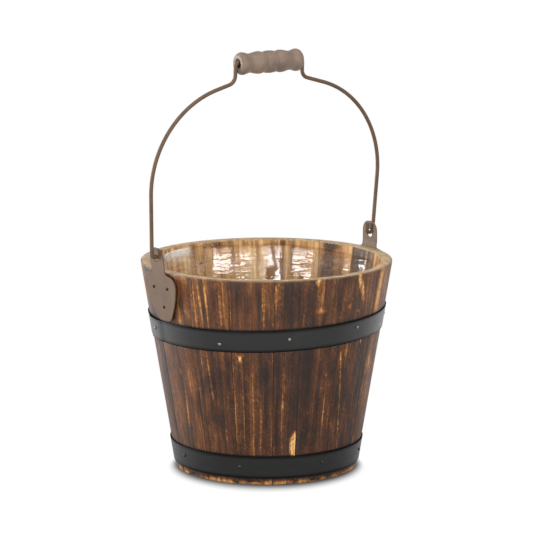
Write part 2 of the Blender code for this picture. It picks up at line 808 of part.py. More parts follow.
def main():
    remove_everything()
    charred_wood = make_material("charred_pine", (0.085, 0.040, 0.022), 0.55)
    floor_wood = make_material("pine_board", (0.35, 0.22, 0.12), 0.7)
    black_iron = make_material("black_iron", (0.040, 0.041, 0.043), 0.42, 0.6)
    steel = make_material("nail_steel", (0.30, 0.30, 0.31), 0.35, 1.0)
    grey_paint = make_material("grey_brown_paint", (0.245, 0.205, 0.165), 0.45)
    film = make_material("clear_film", (0.9, 0.9, 0.88), 0.08, 0.0, 0.25)
    guide = make_material("guide", (0.8, 0.2, 0.2), 0.5)

    upper_seats = hoop_nail_seats(UPPER_NAILS, upper_hoop_z, UPPER_HOOP_Z, UPPER_LAP_DEG)
    lower_seats = hoop_nail_seats(LOWER_NAILS, lower_hoop_z, LOWER_HOOP_Z, LOWER_LAP_DEG)
    right_seats = ear_nail_seats(RIGHT_EAR)
    left_seats = half_turn(ear_nail_seats(LEFT_EAR))
    tacks = tack_seats()

    bm = bmesh.new()
    for seats, length in (
        (upper_seats, HOOP_NAIL_L),
        (lower_seats, FLOOR_NAIL_L),
        (right_seats + left_seats, EAR_NAIL_L),
    ):
        for seat, outward in seats:
            add_nail_hole(bm, seat, outward, length)
    for seat, outward in tacks:
        add_nail_hole(bm, seat, outward, TACK_L, TACK_SHANK_R)
    drill = add_object("nail_holes", bm, guide)
    hide_cutter(drill)

    for k in range(STAVES):
        cut(make_stave(k, charred_wood), drill)
    for board in make_floor_boards(floor_wood):
        cut(board, drill)
    upper = make_hoop("upper_hoop", upper_hoop_z, UPPER_HOOP_H, UPPER_HOOP_Z, UPPER_LAP_DEG, black_iron)
    lower = make_hoop("lower_hoop", lower_hoop_z, LOWER_HOOP_H, LOWER_HOOP_Z, LOWER_LAP_DEG, black_iron)
    cut(upper, drill)
    cut(lower, drill)
    make_nails("upper_hoop_nail", upper_seats, HOOP_NAIL_L, steel)
    make_nails("lower_hoop_nail", lower_seats, FLOOR_NAIL_L, steel)

    for ear, seats in ((LEFT_EAR, left_seats), (RIGHT_EAR, right_seats)):
        make_ear(ear, grey_paint, guide)
        make_nails(ear.name + "_nail", seats, EAR_NAIL_L, steel)

    bail = make_bail(grey_paint)
    bail.location = (BAIL_SLIDE, 0, HINGE_Z)
    bail.rotation_euler.x = math.radians(BAIL_LEAN_DEG)
    grip = make_grip(grey_paint)
    grip.parent = bail
    grip.location = (CRANK_SHIFT + GRIP_SLIDE, 0, grip_axis_up())

    cut(make_liner(film), drill)
    tack_sizes = {"head_r": TACK_HEAD_R, "head_h": TACK_HEAD_H, "shank_r": TACK_SHANK_R}
    make_nails("liner_tack", tacks, TACK_L, steel, **tack_sizes)


main()
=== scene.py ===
"""Looks of the wooden bucket planter: scorched staves, painted iron, wire bail and clear film."""
import math
import random

import bmesh
import bpy
from mathutils import Matrix, Vector, noise


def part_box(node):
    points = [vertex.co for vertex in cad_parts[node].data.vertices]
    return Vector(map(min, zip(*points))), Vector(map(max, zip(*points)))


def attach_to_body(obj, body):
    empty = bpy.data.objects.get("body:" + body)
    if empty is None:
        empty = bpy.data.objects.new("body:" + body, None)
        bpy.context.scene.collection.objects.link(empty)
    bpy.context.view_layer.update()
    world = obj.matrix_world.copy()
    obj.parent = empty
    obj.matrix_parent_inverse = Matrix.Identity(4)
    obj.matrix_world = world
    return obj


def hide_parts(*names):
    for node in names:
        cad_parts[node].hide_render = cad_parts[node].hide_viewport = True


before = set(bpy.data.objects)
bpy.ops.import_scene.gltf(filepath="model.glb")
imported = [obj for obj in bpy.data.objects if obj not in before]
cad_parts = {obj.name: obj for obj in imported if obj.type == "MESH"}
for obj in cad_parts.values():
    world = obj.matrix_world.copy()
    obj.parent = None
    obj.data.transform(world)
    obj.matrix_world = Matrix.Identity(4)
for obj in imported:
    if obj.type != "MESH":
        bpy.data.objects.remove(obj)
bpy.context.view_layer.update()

MM = 0.001

# Sizes of the solids, repeated here in metres and degrees
FIT = 0.3 * MM
BODY_H = 216 * MM
RIM_R = 130 * MM
FOOT_R = 94 * MM
STAVE_WALL = 9.5 * MM
FIRST_JOINT_DEG = -14.8
STAVE_WIDTHS_DEG = (
    21.2, 21.2, 21.2, 21.2, 21.2, 21.2, 21.2, 21.2, 16.9,
    25.9, 20.8, 20.8, 13.3, 21.2, 23.0, 23.3, 25.2,
)
STAVES = len(STAVE_WIDTHS_DEG)
EDGE_EASE = 1.2 * MM
FLOOR_LIFT = 13 * MM
FLOOR_T = 12 * MM
GROOVE_DEPTH = 2.5 * MM
FLOOR_TOP = FLOOR_LIFT + FLOOR_T
SLOPE = (RIM_R - FOOT_R) / BODY_H
# Directions are counted on from here, behind the front wall
COUNT_FROM_DEG = -206.0

HOOP_T = 0.9 * MM
LAP_L = 27 * MM
JOGGLE_L = 8 * MM
UPPER_HOOP_H = 22.5 * MM
UPPER_HOOP_Z = BODY_H - 60.4 * MM
UPPER_HOOP_TILT = 4.2 * MM
UPPER_LAP_DEG = 159.7
LOWER_HOOP_H = 23.5 * MM
LOWER_HOOP_Z = 19.0 * MM
LOWER_LAP_DEG = 40.0

EAR_HOLE_UP = 14 * MM

WIRE_R = 2.0 * MM
HINGE_Z = BODY_H + EAR_HOLE_UP + 1.0 * MM
LEG_X = 137.25 * MM
RIGHT_HOOK_X = 129.8 * MM
LEFT_HOOK_X = 127.21 * MM
RIGHT_HOOK_L = 10.5 * MM
LEFT_HOOK_L = 6.5 * MM
HOOK_BEND_R = 3.2 * MM
LEG_SPLAY_DEG = 2.6
ARCH_R = 101.9 * MM
ARCH_CENTRE_UP = 66.8 * MM
ARCH_SWEEP_DEG = 74.3
CRANK_RISE = 27.6 * MM
CRANK_TOP_UP = ARCH_CENTRE_UP + ARCH_R * math.sin(math.radians(ARCH_SWEEP_DEG)) + CRANK_RISE
CRANK_SHIFT = -2.6 * MM
CRANK_LOW_BEND_R = 9 * MM
CRANK_HIGH_BEND_R = 6 * MM
BAIL_LEAN_DEG = 3.5
BAIL_SLIDE = -1.8 * MM

GRIP_L = 76 * MM
GRIP_R = 11.5 * MM
GRIP_BORE_R = 4.7 * MM
GRIP_END_PLAY = 1.0 * MM
GRIP_SLIDE = -0.7 * MM


# Plan of the staves

def cone_r(z):
    """Outer radius of the staves at height z."""
    return FOOT_R + SLOPE * z


def polar(r, az, z):
    return Vector((r * math.cos(az), r * math.sin(az), z))


def joint_az(k):
    """Direction of the joint between stave k and the one before it."""
    before = sum(STAVE_WIDTHS_DEG[:k]) / sum(STAVE_WIDTHS_DEG)
    return math.radians(FIRST_JOINT_DEG) + math.tau * before


def stave_span(k):
    """Direction of the stave's middle, and half the angle it fills."""
    first, last = joint_az(k), joint_az(k + 1)
    return (first + last) / 2, (last - first) / 2


def from_first_joint(az):
    """The same direction, counted on from the first joint."""
    return (az - joint_az(0)) % math.tau + joint_az(0)


def stave_at(az):
    """The stave that lies in a direction."""
    turn = from_first_joint(az)
    return max(k for k in range(STAVES) if joint_az(k) <= turn)


def chord_r(z, az):
    """Distance from the axis to the flat inner face of the staves."""
    middle, half = stave_span(stave_at(az))
    return (cone_r(z) - STAVE_WALL) * math.cos(half) / math.cos(from_first_joint(az) - middle)


def front_degrees(az):
    """A direction in degrees, counted on through the front wall without a break."""
    return (math.degrees(az) - COUNT_FROM_DEG) % 360.0 + COUNT_FROM_DEG


def smooth(share):
    """A share from 0 to 1, eased at both ends."""
    return share * share * (3 - 2 * share)


# Mesh helpers

def loft_faces(rings, sides, closed=False, capped=True):
    """Faces between rings of points, with or without ends."""
    faces = []
    spans = rings if closed else rings - 1
    for a in range(spans):
        b = (a + 1) % rings
        for i in range(sides):
            j = (i + 1) % sides
            faces.append((a * sides + i, a * sides + j, b * sides + j, b * sides + i))
    if capped and not closed:
        faces.append(tuple(reversed(range(sides))))
        faces.append(tuple(range((rings - 1) * sides, rings * sides)))
    return faces


def add_object(name, data):
    obj = bpy.data.objects.new(name, data)
    bpy.context.scene.collection.objects.link(obj)
    return obj


def face_outward(mesh):
    """Turns the faces so that their fronts are outside."""
    bm = bmesh.new()
    bm.from_mesh(mesh)
    bmesh.ops.recalc_face_normals(bm, faces=bm.faces[:])
    bm.to_mesh(mesh)
    bm.free()


def make_piece(name, points, faces, material, sharp_deg=35.0, attributes=None, outward=False):
    """A mesh object at the origin. Attributes are name: (type, domain, values)."""
    mesh = bpy.data.meshes.new(name)
    mesh.from_pydata([tuple(p) for p in points], [], faces)
    for key, (kind, domain, values) in (attributes or {}).items():
        data = mesh.attributes.new(key, kind, domain).data
        if kind == "FLOAT_VECTOR":
            data.foreach_set("vector", [x for value in values for x in value])
        else:
            data.foreach_set("value", values)
    if outward:
        face_outward(mesh)
    mesh.shade_smooth()
    mesh.set_sharp_from_angle(angle=math.radians(sharp_deg))
    mesh.materials.append(material)
    return add_object(name, mesh)


def worked_mesh(obj):
    """A mesh of the object as its modifiers leave it."""
    graph = bpy.context.evaluated_depsgraph_get()
    return bpy.data.meshes.new_from_object(obj.evaluated_get(graph))


def settle(obj):
    """Turns the object's modifiers into plain mesh."""
    mesh = worked_mesh(obj)
    obj.modifiers.clear()
    obj.data = mesh


def run_tree(obj, tree, values):
    """Adds a node tree to the object as a modifier. Values go to the inputs of these names."""
    modifier = obj.modifiers.new(tree.name, "NODES")
    modifier.node_group = tree
    for item in tree.interface.items_tree:
        if item.in_out == "INPUT" and item.name in values:
            modifier[item.identifier] = values[item.name]


def rounded(corners, step_deg):
    """Points along a line through corners of (x, y, radius), each corner turned as an arc."""
    points = [Vector(corners[0][:2])]
    for before, here, after in zip(corners, corners[1:], corners[2:]):
        corner = Vector(here[:2])
        into = (corner - Vector(before[:2])).normalized()
        out = (Vector(after[:2]) - corner).normalized()
        turn = into.angle_signed(out)
        start = corner - into * here[2] * math.tan(abs(turn) / 2)
        side = Vector((-into.y, into.x)) * (-1.0 if turn > 0 else 1.0)
        centre = start + side * here[2]
        steps = max(2, math.ceil(math.degrees(abs(turn)) / step_deg))
        for i in range(steps + 1):
            angle = abs(turn) * i / steps
            points.append(centre - side * here[2] * math.cos(angle) + into * here[2] * math.sin(angle))
    points.append(Vector(corners[-1][:2]))
    return points


def attach(obj, body, nodes):
    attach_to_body(obj, body)
    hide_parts(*nodes)


# Node helpers

def srgb(colour):
    """A hex colour as linear red, green, blue and alpha."""
    channels = [int(colour[i:i + 2], 16) / 255 for i in (1, 3, 5)]
    linear = [c / 12.92 if c <= 0.04045 else ((c + 0.055) / 1.055) ** 2.4 for c in channels]
    return (*linear, 1.0)


def add_node(tree, kind, inputs=None, **settings):
    """A node with its settings. Inputs are values, nodes (their first output) or sockets."""
    node = tree.nodes.new(kind)
    for key, value in settings.items():
        setattr(node, key, value)
    for key, value in (inputs or {}).items():
        if isinstance(value, bpy.types.Node):
            value = value.outputs[0]
        if isinstance(value, bpy.types.NodeSocket):
            tree.links.new(value, node.inputs[key])
        else:
            node.inputs[key].default_value = value
    return node


def calc(tree, operation, *values, **settings):
    """One operation on numbers."""
    return add_node(tree, "ShaderNodeMath", dict(enumerate(values)), operation=operation, **settings)


def vector_calc(tree, operation, *values):
    """One operation on vectors."""
    return add_node(tree, "ShaderNodeVectorMath", dict(enumerate(values)), operation=operation)


def remap(tree, value, low, high, least=0.0, most=1.0, kind="LINEAR"):
    """What lies between low and high, laid out between least and most."""
    inputs = {0: value, 1: low, 2: high, 3: least, 4: most}
    return add_node(tree, "ShaderNodeMapRange", inputs, interpolation_type=kind)


def blend(tree, share, first, second):
    """The first colour where the share is 0, and the second where it is 1."""
    return add_node(tree, "ShaderNodeMix", {0: share, 6: first, 7: second}, data_type="RGBA").outputs[2]


def ramp(tree, value, stops):
    """Colours by value. Stops are (place, hex colour), from dark to light."""
    node = add_node(tree, "ShaderNodeValToRGB", {0: value})
    elements = node.color_ramp.elements
    while len(elements) > 1:
        elements.remove(elements[-1])
    for i, (place, colour) in enumerate(stops):
        element = elements[0] if i == 0 else elements.new(place)
        element.position = place
        element.color = srgb(colour)
    return node


def noise_of(tree, place, scale, detail, **more):
    return add_node(tree, "ShaderNodeTexNoise", {"Vector": place, "Scale": scale, "Detail": detail, **more})


def bump_of(tree, height, strength, distance, **more):
    inputs = {"Height": height, "Strength": strength, "Distance": distance, **more}
    return add_node(tree, "ShaderNodeBump", inputs)


def attribute(tree, name, output="Fac"):
    return add_node(tree, "ShaderNodeAttribute", attribute_name=name).outputs[output]


def object_place(tree):
    return add_node(tree, "ShaderNodeTexCoord").outputs["Object"]


def parts_of(tree, vector):
    """The three parts of a vector."""
    return add_node(tree, "ShaderNodeSeparateXYZ", {0: vector}).outputs


def new_group(name, kind, inputs, output):
    """An empty node group with its sockets as (name, type), and what its inputs give."""
    group = bpy.data.node_groups.new(name, kind)

    def add_socket(socket, way):
        group.interface.new_socket(socket[0], in_out=way, socket_type=f"NodeSocket{socket[1]}")

    for socket in inputs:
        add_socket(socket, "INPUT")
    add_socket(output, "OUTPUT")
    return group, add_node(group, "NodeGroupInput").outputs


def new_material(name):
    material = bpy.data.materials.new(name)
    material.use_nodes = True
    material.node_tree.nodes.clear()
    return material, material.node_tree


def surfaced(material, inputs):
    """The material with one plain surface that has these inputs."""
    shader = add_node(material.node_tree, "ShaderNodeBsdfPrincipled", inputs)
    add_node(material.node_tree, "ShaderNodeOutputMaterial", {"Surface": shader})
    return material


# Scorched pine: softwood staves planed, burnt over a flame, brushed and sealed with satin
# lacquer. Soft early wood chars nearly black, hard late wood stays as golden lines.

# Marks left by the flame and the brush: direction and half width in degrees, lowest and highest in
# millimetres, lean in degrees per metre, strength. A strength below zero darkens. A mark colours
# only the board that its direction falls on.
OUTER_MARKS = (
    (-161.8, 0.46, 30, 218, 0, 0.26), (-159.3, 0.46, 160, 220, 0, 0.36), (-156.1, 0.8, 155, 222, -30, 0.43),
    (-152.8, 0.75, 160, 222, -20, 0.43), (-145.8, 0.92, 160, 216, 0, 0.3), (-141.2, 0.46, 160, 218, 0, 0.36),
    (-131.8, 0.4, 160, 214, 0, 0.25), (-125.8, 1.4, 158, 220, 0, 0.5), (-120.2, 1, 176, 222, 0, 0.54),
    (-118.4, 2.4, 186, 222, 0, 0.4), (-115.0, 0.46, 30, 204, 0, 0.36), (-107.8, 0.46, 160, 216, 0, 0.29),
    (-101.3, 1.8, 207, 220, 0, 0.9), (-99.5, 5.0, 176, 214, 0, 0.14), (-98.5, 3.4, 180, 187, 0, 0.5),
    (-86.8, 0.57, 166, 208, 0, 0.32), (-82.3, 1.3, 181, 187, 0, 0.45), (-76.2, 2.2, 184, 226, -182, 0.8),
    (-76.3, 1.7, 175, 179, 0, 0.45), (-58.8, 3.4, 150, 225, 0, 0.6), (-177.0, 9.0, 20, 150, 0, -0.1),
    (-173.8, 1.1, 20, 112, 27, 0.39), (-175.1, 1, 108, 116, 0, 0.57), (-168.8, 1.0, 88, 108, 0, 0.3),
    (-158.3, 0.72, 104, 150, 0, 0.43), (-154.6, 0.72, 84, 150, -31, 0.43), (-154.1, 1.1, 86, 101, -30, 0.3),
    (-147.3, 0.62, 24, 106, 0, 0.34), (-141.2, 0.62, 20, 150, 0, 0.47), (-136.6, 0.62, 20, 132, 0, 0.55),
    (-137.6, 1.2, 129, 139, 0, 0.9), (-137.6, 0.62, 129, 139, -450, 0.5), (-137.6, 0.62, 129, 139, 450, 0.5),
    (-135.5, 3.5, 100, 150, 0, -0.14), (-131.3, 0.62, 20, 150, 0, 0.47), (-132.0, 1.2, 24, 54, 0, 0.35),
    (-127.3, 1.2, 20, 98, 0, 0.43), (-121.4, 0.41, 20, 70, 0, 0.34), (-115.8, 0.41, 20, 150, 0, 0.34),
    (-107.55, 4.8, 26, 59, 0, 1.7), (-120.0, 1.8, 38, 43, 300, 0.35), (-101.0, 2.4, 26, 41, 0, 0.3),
    (-81.3, 0.72, 20, 150, -62, 0.5), (-81.0, 2.0, 128, 148, 0, 0.43), (-84.2, 1.5, 118, 150, 0, 0.35),
    (-70.3, 1.0, 140, 147, 0, 0.74), (-58.8, 4.4, 104, 129, 0, 0.52), (-92.3, 1, 111, 116, 0, 0.31),
    (-92.5, 5.0, 95, 112, 0, 0.17), (-92.0, 0.63, 40, 98, 0, 0.36), (-88.5, 0.54, 44, 90, 0, 0.3),
    (-124.0, 1.6, 60, 150, 0, -0.2), (-118.5, 2.4, 20, 150, 0, -0.24), (-103.6, 3.6, 20, 222, 0, -0.2),
    (-144.3, 2.1, 90, 150, 0, -0.22), (-159.8, 1.2, 60, 120, 0, -0.25), (-66.5, 3.2, 20, 222, 0, -0.16),
    (-50.0, 12.0, 20, 222, 0, 0.1), (-91.5, 1.6, 184, 220, 30, -0.22), (-149.5, 2.4, 160, 220, 0, -0.12),
    (-114.0, 9.0, 150, 240, 0, -0.24), (-160.0, 5.0, 150, 240, 0, 0.12), (-68.0, 6.0, 150, 240, 0, 0.14),
    (-131.0, 9.0, 150, 240, 0, -0.14), (-192.0, 5.0, 20, 150, 0, -0.25), (-172.0, 14.0, -12, 16, 0, -0.5),
    (-195.0, 9.0, 140, 240, 0, -0.45), (-185.0, 5.0, 140, 240, 0, -0.25),
)
INNER_MARKS = (
    (106.2, 0.8, 20, 216, 0, 0.4), (97.2, 0.9, 20, 216, 0, 0.45), (94.2, 0.7, 20, 216, 0, 0.4),
    (91.6, 1.2, 20, 216, 0, -0.4), (89.2, 0.8, 20, 216, 0, 0.4), (73.5, 1.6, 20, 216, 0, 0.3),
    (59.4, 1.2, 20, 216, 0, -0.28), (57.0, 1.8, 20, 220, 0, 0.4), (46.5, 1.4, 20, 216, 0, -0.3),
    (43.0, 1.0, 20, 216, 0, 0.2), (41.0, 1.2, 20, 216, 0, -0.3), (30.0, 3.4, 20, 225, 0, 0.42),
    (24.6, 1.9, 20, 216, 0, -0.5), (19.0, 3.2, 20, 216, 0, 0.25), (12.2, 4.0, 20, 216, 0, -0.3),
    (5.7, 0.9, 20, 216, 0, 0.4), (22.0, 13.0, -80, 310, 0, -0.7), (-2.0, 20.0, -80, 310, 0, -1.25),
    (-27.0, 17.0, -40, 270, 0, -0.5), (2.0, 2.6, 20, 216, 0, -0.3), (-9.5, 0.8, 20, 216, 0, 0.3),
    (-13.0, 0.8, 20, 216, 0, 0.35), (-16.6, 0.9, 20, 216, 0, 0.45), (-5.5, 3.0, 20, 216, 0, -0.2),
    (51.0, 2.6, 214, 226, 0, 0.5), (106.0, 6.0, 207, 217, 0, -0.3), (82.0, 9.0, 206, 218, 0, -0.62),
    (65.0, 6.0, 208, 218, 0, -0.5), (46.0, 3.6, 208, 218, 0, -0.5), (20.0, 7.5, 208, 219, 0, -0.55),
    (6.0, 5.0, 206, 219, 0, -0.5), (-8.0, 6.0, 208, 219, 0, -0.35),
)
# Degrees added for each board, so that no mark reaches the next one
BOARD_STEP = 400.0
# A mark's oval ends a little past the mark, at the mark's length over this from its middle
MARK_FADE = 1.7
# How much darker the painted shade makes the corner above a hoop
CORNER_PAINTED_SHADE = -0.32


def make_mark_group():
    """One mark: a long soft oval on one board, added to the tone."""
    sockets = (
        ("Wall", "Vector"), ("Middle", "Vector"), ("Across", "Vector"), ("Along", "Vector"),
        ("Strength", "Float"), ("Tone", "Float"),
    )
    group, given = new_group("scorch_mark", "ShaderNodeTree", sockets, ("Tone", "Float"))
    off = vector_calc(group, "SUBTRACT", given["Wall"], given["Middle"])
    across = vector_calc(group, "DOT_PRODUCT", off, given["Across"]).outputs[1]
    along = vector_calc(group, "DOT_PRODUCT", off, given["Along"]).outputs[1]
    out = calc(group, "MULTIPLY_ADD", along, along, calc(group, "MULTIPLY", across, across))
    inside = calc(group, "SUBTRACT", 1.0, out, use_clamp=True)
    soft = calc(group, "POWER", inside, 1.4)
    tone = calc(group, "MULTIPLY_ADD", soft, given["Strength"], given["Tone"])
    add_node(group, "NodeGroupOutput", {0: tone})
    return group


def add_marks(tree, group, marks, wall):
    """The sum of a list of marks at each point of the wall."""
    tone = 0.0
    for degrees, half, low, high, lean, strength in marks:
        k = stave_at(math.radians(degrees))
        tone = add_node(tree, "ShaderNodeGroup", {
            "Wall": wall,
            "Middle": (degrees + BOARD_STEP * k, (low + high) / 2, 0.0),
            "Across": (1 / half, -lean / 1000 / half, 0.0),
            "Along": (0.0, MARK_FADE / (high - low), 0.0),
            "Strength": strength,
            "Tone": tone,
        }, node_tree=group)
    return tone


def make_scorched_pine():
    material, tree = new_material("scorched_pine")
    grain = attribute(tree, "grain", "Vector")
    wall = attribute(tree, "wall", "Vector")

    def mixed(tone, *fields):
        """The tone with fields worked in, each as (field, share, the middle it swings about)."""
        for field, share, middle in fields:
            swing = calc(tree, "SUBTRACT", field, middle)
            tone = calc(tree, "MULTIPLY_ADD", swing, share, tone)
        return tone

    def cloud(vector, sizes_mm, detail, rough=0.55):
        """Noise whose blobs have these sizes in millimetres across, deep and along."""
        stretched = vector_calc(tree, "MULTIPLY", vector, tuple(1000.0 / size for size in sizes_mm))
        return noise_of(tree, stretched, 1.0, detail, Roughness=rough)

    def ranged(field, low, high, least=0.0, most=1.0):
        return remap(tree, field, low, high, least, most, "SMOOTHSTEP")

    # The grain wanders a little sideways as it runs up the board
    drift = cloud(grain, (60, 60, 110), 1.0).outputs["Color"]
    sway = vector_calc(tree, "MULTIPLY_ADD", drift, (0.007, 0.007, 0.0), grain)
    broad = cloud(sway, (8, 8, 200), 2.0, 0.5)
    streak = cloud(sway, (2.8, 2.8, 120), 2.0, 0.5)
    fibre = cloud(sway, (0.9, 0.9, 40), 3.0, 0.6)
    burn = cloud(grain, (15, 15, 38), 5.0, 0.62)
    grit = cloud(grain, (1.7, 1.7, 2.8), 3.0)
    soot = cloud(grain, (20, 20, 60), 3.0, 0.6)
    late = ranged(cloud(sway, (1.9, 3.5, 150), 1.0), 0.56, 0.68)
    # Brush strokes slant across the boards
    slant = add_node(tree, "ShaderNodeVectorRotate", {0: grain, 3: math.radians(42)}, rotation_type="Y_AXIS")
    strokes = ranged(cloud(slant, (0.8, 0.8, 11), 2.0), 0.56, 0.72)
    brushed = ranged(cloud(grain, (24, 24, 45), 2.0), 0.42, 0.58)
    strokes = calc(tree, "MULTIPLY", strokes, brushed)

    # Outside: how far the burning left the wood from black, 0, to golden, 1
    wobble = vector_calc(tree, "MULTIPLY_ADD", drift, (1.6, 8.0, 0.0), wall)
    centred = vector_calc(tree, "SUBTRACT", wobble, (0.8, 4.0, 0.0))
    group = make_mark_group()
    broken = mixed(0.62, (fibre, 1.2, 0.5), (grit, 1.2, 0.5))
    tone = add_marks(tree, group, OUTER_MARKS, centred)
    tone = calc(tree, "MULTIPLY_ADD", tone, broken, attribute(tree, "scorch"))
    tone = mixed(
        tone, (burn, 0.85, 0.5), (broad, 0.42, 0.5), (streak, 0.34, 0.5), (fibre, 0.3, 0.5),
        (grit, 0.42, 0.5), (late, 0.08, 0.1), (strokes, 0.26, 0.06),
    )
    # The outer wall is lighter toward its top
    height, inward = parts_of(tree, wall)[1:]
    tone = calc(tree, "MULTIPLY_ADD", ranged(height, 130.0, 180.0), 0.085, tone)
    tone = calc(tree, "SUBTRACT", tone, 0.02)
    # Painted shade in the corner above each hoop, where shade falls between the hoop and the wall
    x, _, z = parts_of(tree, object_place(tree))
    tilt = UPPER_HOOP_TILT / cone_r(UPPER_HOOP_Z)
    level = calc(tree, "MULTIPLY_ADD", x, -tilt, z)
    upper_edge = UPPER_HOOP_Z + UPPER_HOOP_H / 2
    lower_edge = LOWER_HOOP_Z + LOWER_HOOP_H / 2
    over_upper = ranged(level, upper_edge + 2.4 * MM, upper_edge + 0.2 * MM, 0.0, CORNER_PAINTED_SHADE)
    over_lower = ranged(z, lower_edge + 2.0 * MM, lower_edge + 0.2 * MM, 0.0, CORNER_PAINTED_SHADE)
    below = ranged(level, UPPER_HOOP_Z, UPPER_HOOP_Z - UPPER_HOOP_H / 2)
    corner = calc(tree, "MULTIPLY", below, over_lower)
    corner = calc(tree, "MULTIPLY_ADD", calc(tree, "SUBTRACT", 1.0, below), over_upper, corner)
    tone = calc(tree, "ADD", tone, corner)
    # Rubbed pale again along the foot, where the hoop stops; it is made paler still as painted light,
    # standing in for light bounced up from the floor
    foot_wear_and_light = ranged(cloud(grain, (15, 15, 8), 3.0), 0.32, 0.54)
    foot_wear_and_light = calc(tree, "MULTIPLY", ranged(height, 8.0, 2.0), foot_wear_and_light)
    tone = calc(tree, "MULTIPLY_ADD", foot_wear_and_light, 0.72, tone, use_clamp=True)
    burnt = ramp(tree, tone, (
        (0.0, "#1d1613"), (0.2, "#2f1f18"), (0.36, "#4a2d1c"), (0.5, "#633c21"),
        (0.64, "#87592d"), (0.8, "#ac7740"), (1.0, "#d4a768"),
    ))
    sooty = blend(tree, ranged(soot, 0.5, 0.66, 0.0, 0.6), burnt, srgb("#2a221d"))
    outside = blend(tree, ranged(tone, 0.5, 0.62), sooty, burnt)

    # Inside: only singed, so tan with brown lines, and darker smoke marks under the rim
    inner = add_marks(tree, group, INNER_MARKS, centred)
    inner = calc(tree, "MULTIPLY_ADD", inner, broken, 0.62)
    inner = mixed(inner, (broad, 1.3, 0.5), (streak, 0.5, 0.5), (fibre, 0.25, 0.5), (burn, 0.3, 0.5))
    inner = calc(tree, "ADD", inner, 0.0, use_clamp=True)
    inside = ramp(tree, inner, (
        (0.0, "#35241a"), (0.25, "#674529"), (0.5, "#a0744a"), (0.7, "#cba06a"), (1.0, "#efd09c"),
    ))

    # Sawn ends: pale, with the year rings and dark pores
    pores = cloud(grain, (0.9, 0.9, 50), 3.0)
    stains = cloud(grain, (9, 9, 40), 3.0)
    end_tone = mixed(0.5, (pores, 1.3, 0.5), (late, 0.3, 0.2), (stains, 1.0, 0.5))
    end = ramp(tree, end_tone, (
        (0.0, "#665038"), (0.4, "#907757"), (0.7, "#b39974"), (1.0, "#d2bf9d"),
    ))

    relief = mixed(late, (fibre, 0.8, 0.5), (streak, 0.8, 0.5))
    return surfaced(material, {
        "Base Color": blend(tree, attribute(tree, "sawn"), blend(tree, inward, outside, inside), end),
        "Roughness": remap(tree, fibre, 0.3, 0.7, 0.6, 0.44),
        "Normal": bump_of(tree, relief, 0.5, 0.35 * MM),
        "Specular IOR Level": 0.25,
    })


# Sawn pine: floor boards straight off the saw, dull and a little furry
def make_sawn_pine():
    material, tree = new_material("sawn_pine")
    along = add_node(tree, "ShaderNodeMapping", {"Vector": object_place(tree), "Scale": (14, 600, 600)})
    fibre = noise_of(tree, along, 1.0, 4.0)
    return surfaced(material, {
        "Base Color": ramp(tree, fibre, ((0.3, "#8a6a48"), (0.5, "#ad8a61"), (0.7, "#c9aa80"))),
        "Roughness": 0.75,
        "Normal": bump_of(tree, fibre, 0.5, 0.3 * MM),
    })


# Black strip iron: hot-rolled hoop strip under thin black paint, satin. Its sheared edges are dull, and
# darker by painted shade that stands in for the shadow line along the strip
def make_black_strip():
    material, tree = new_material("black_painted_strip")
    strip = attribute(tree, "strip", "Vector")
    scuffs = noise_of(tree, vector_calc(tree, "MULTIPLY", strip, (60, 900, 1)), 1.0, 4.0)
    blots = noise_of(tree, vector_calc(tree, "MULTIPLY", strip, (45, 70, 1)), 1.0, 3.0)
    edge = parts_of(tree, strip)[2]
    # Painted shade: the edges turn darker, as the shadow line along a hoop would
    painted_edge_shade = remap(tree, calc(tree, "MULTIPLY_ADD", blots, 0.4, edge), 0.6, 1.1)
    paint = ramp(tree, blots, ((0.3, "#0d0d0d"), (0.6, "#121211"), (0.8, "#181716")))
    ripple = calc(tree, "MULTIPLY_ADD", blots, 3.0, scuffs)
    return surfaced(material, {
        "Base Color": blend(tree, painted_edge_shade, paint, srgb("#0a0a09")),
        "Roughness": remap(tree, scuffs, 0.3, 0.7, 0.3, 0.44),
        "Normal": bump_of(tree, ripple, 0.3, 0.12 * MM),
        "Specular IOR Level": remap(tree, edge, 0.5, 1.0, 0.5, 0.0),
    })


# Grey-brown paint: sprayed on steel or turned wood, satin, with a fine orange-peel skin
def make_grey_brown_paint(name, dark, light, roughness, peel_mm):
    material, tree = new_material(name)
    place = object_place(tree)
    tint = noise_of(tree, place, 70.0, 4.0)
    skin = noise_of(tree, place, 1000 / peel_mm, 2.0)
    return surfaced(material, {
        "Base Color": ramp(tree, tint, ((0.32, dark), (0.68, light))),
        "Roughness": remap(tree, tint, 0.3, 0.7, roughness - 0.05, roughness + 0.07),
        "Normal": bump_of(tree, skin, 0.35, 0.08 * MM),
        "Specular IOR Level": 0.28,
    })


# Nail steel: cut and stamped wire, bright, dulled or blackened by its colour and roughness
def make_nail_steel(name, colour, roughness):
    material, tree = new_material(name)
    grit = noise_of(tree, object_place(tree), 900.0, 2.0)
    return surfaced(material, {
        "Base Color": srgb(colour),
        "Metallic": 1.0,
        "Roughness": remap(tree, grit, 0.3, 0.7, roughness - 0.06, roughness + 0.08),
    })


FILM_INDEX = 1.6


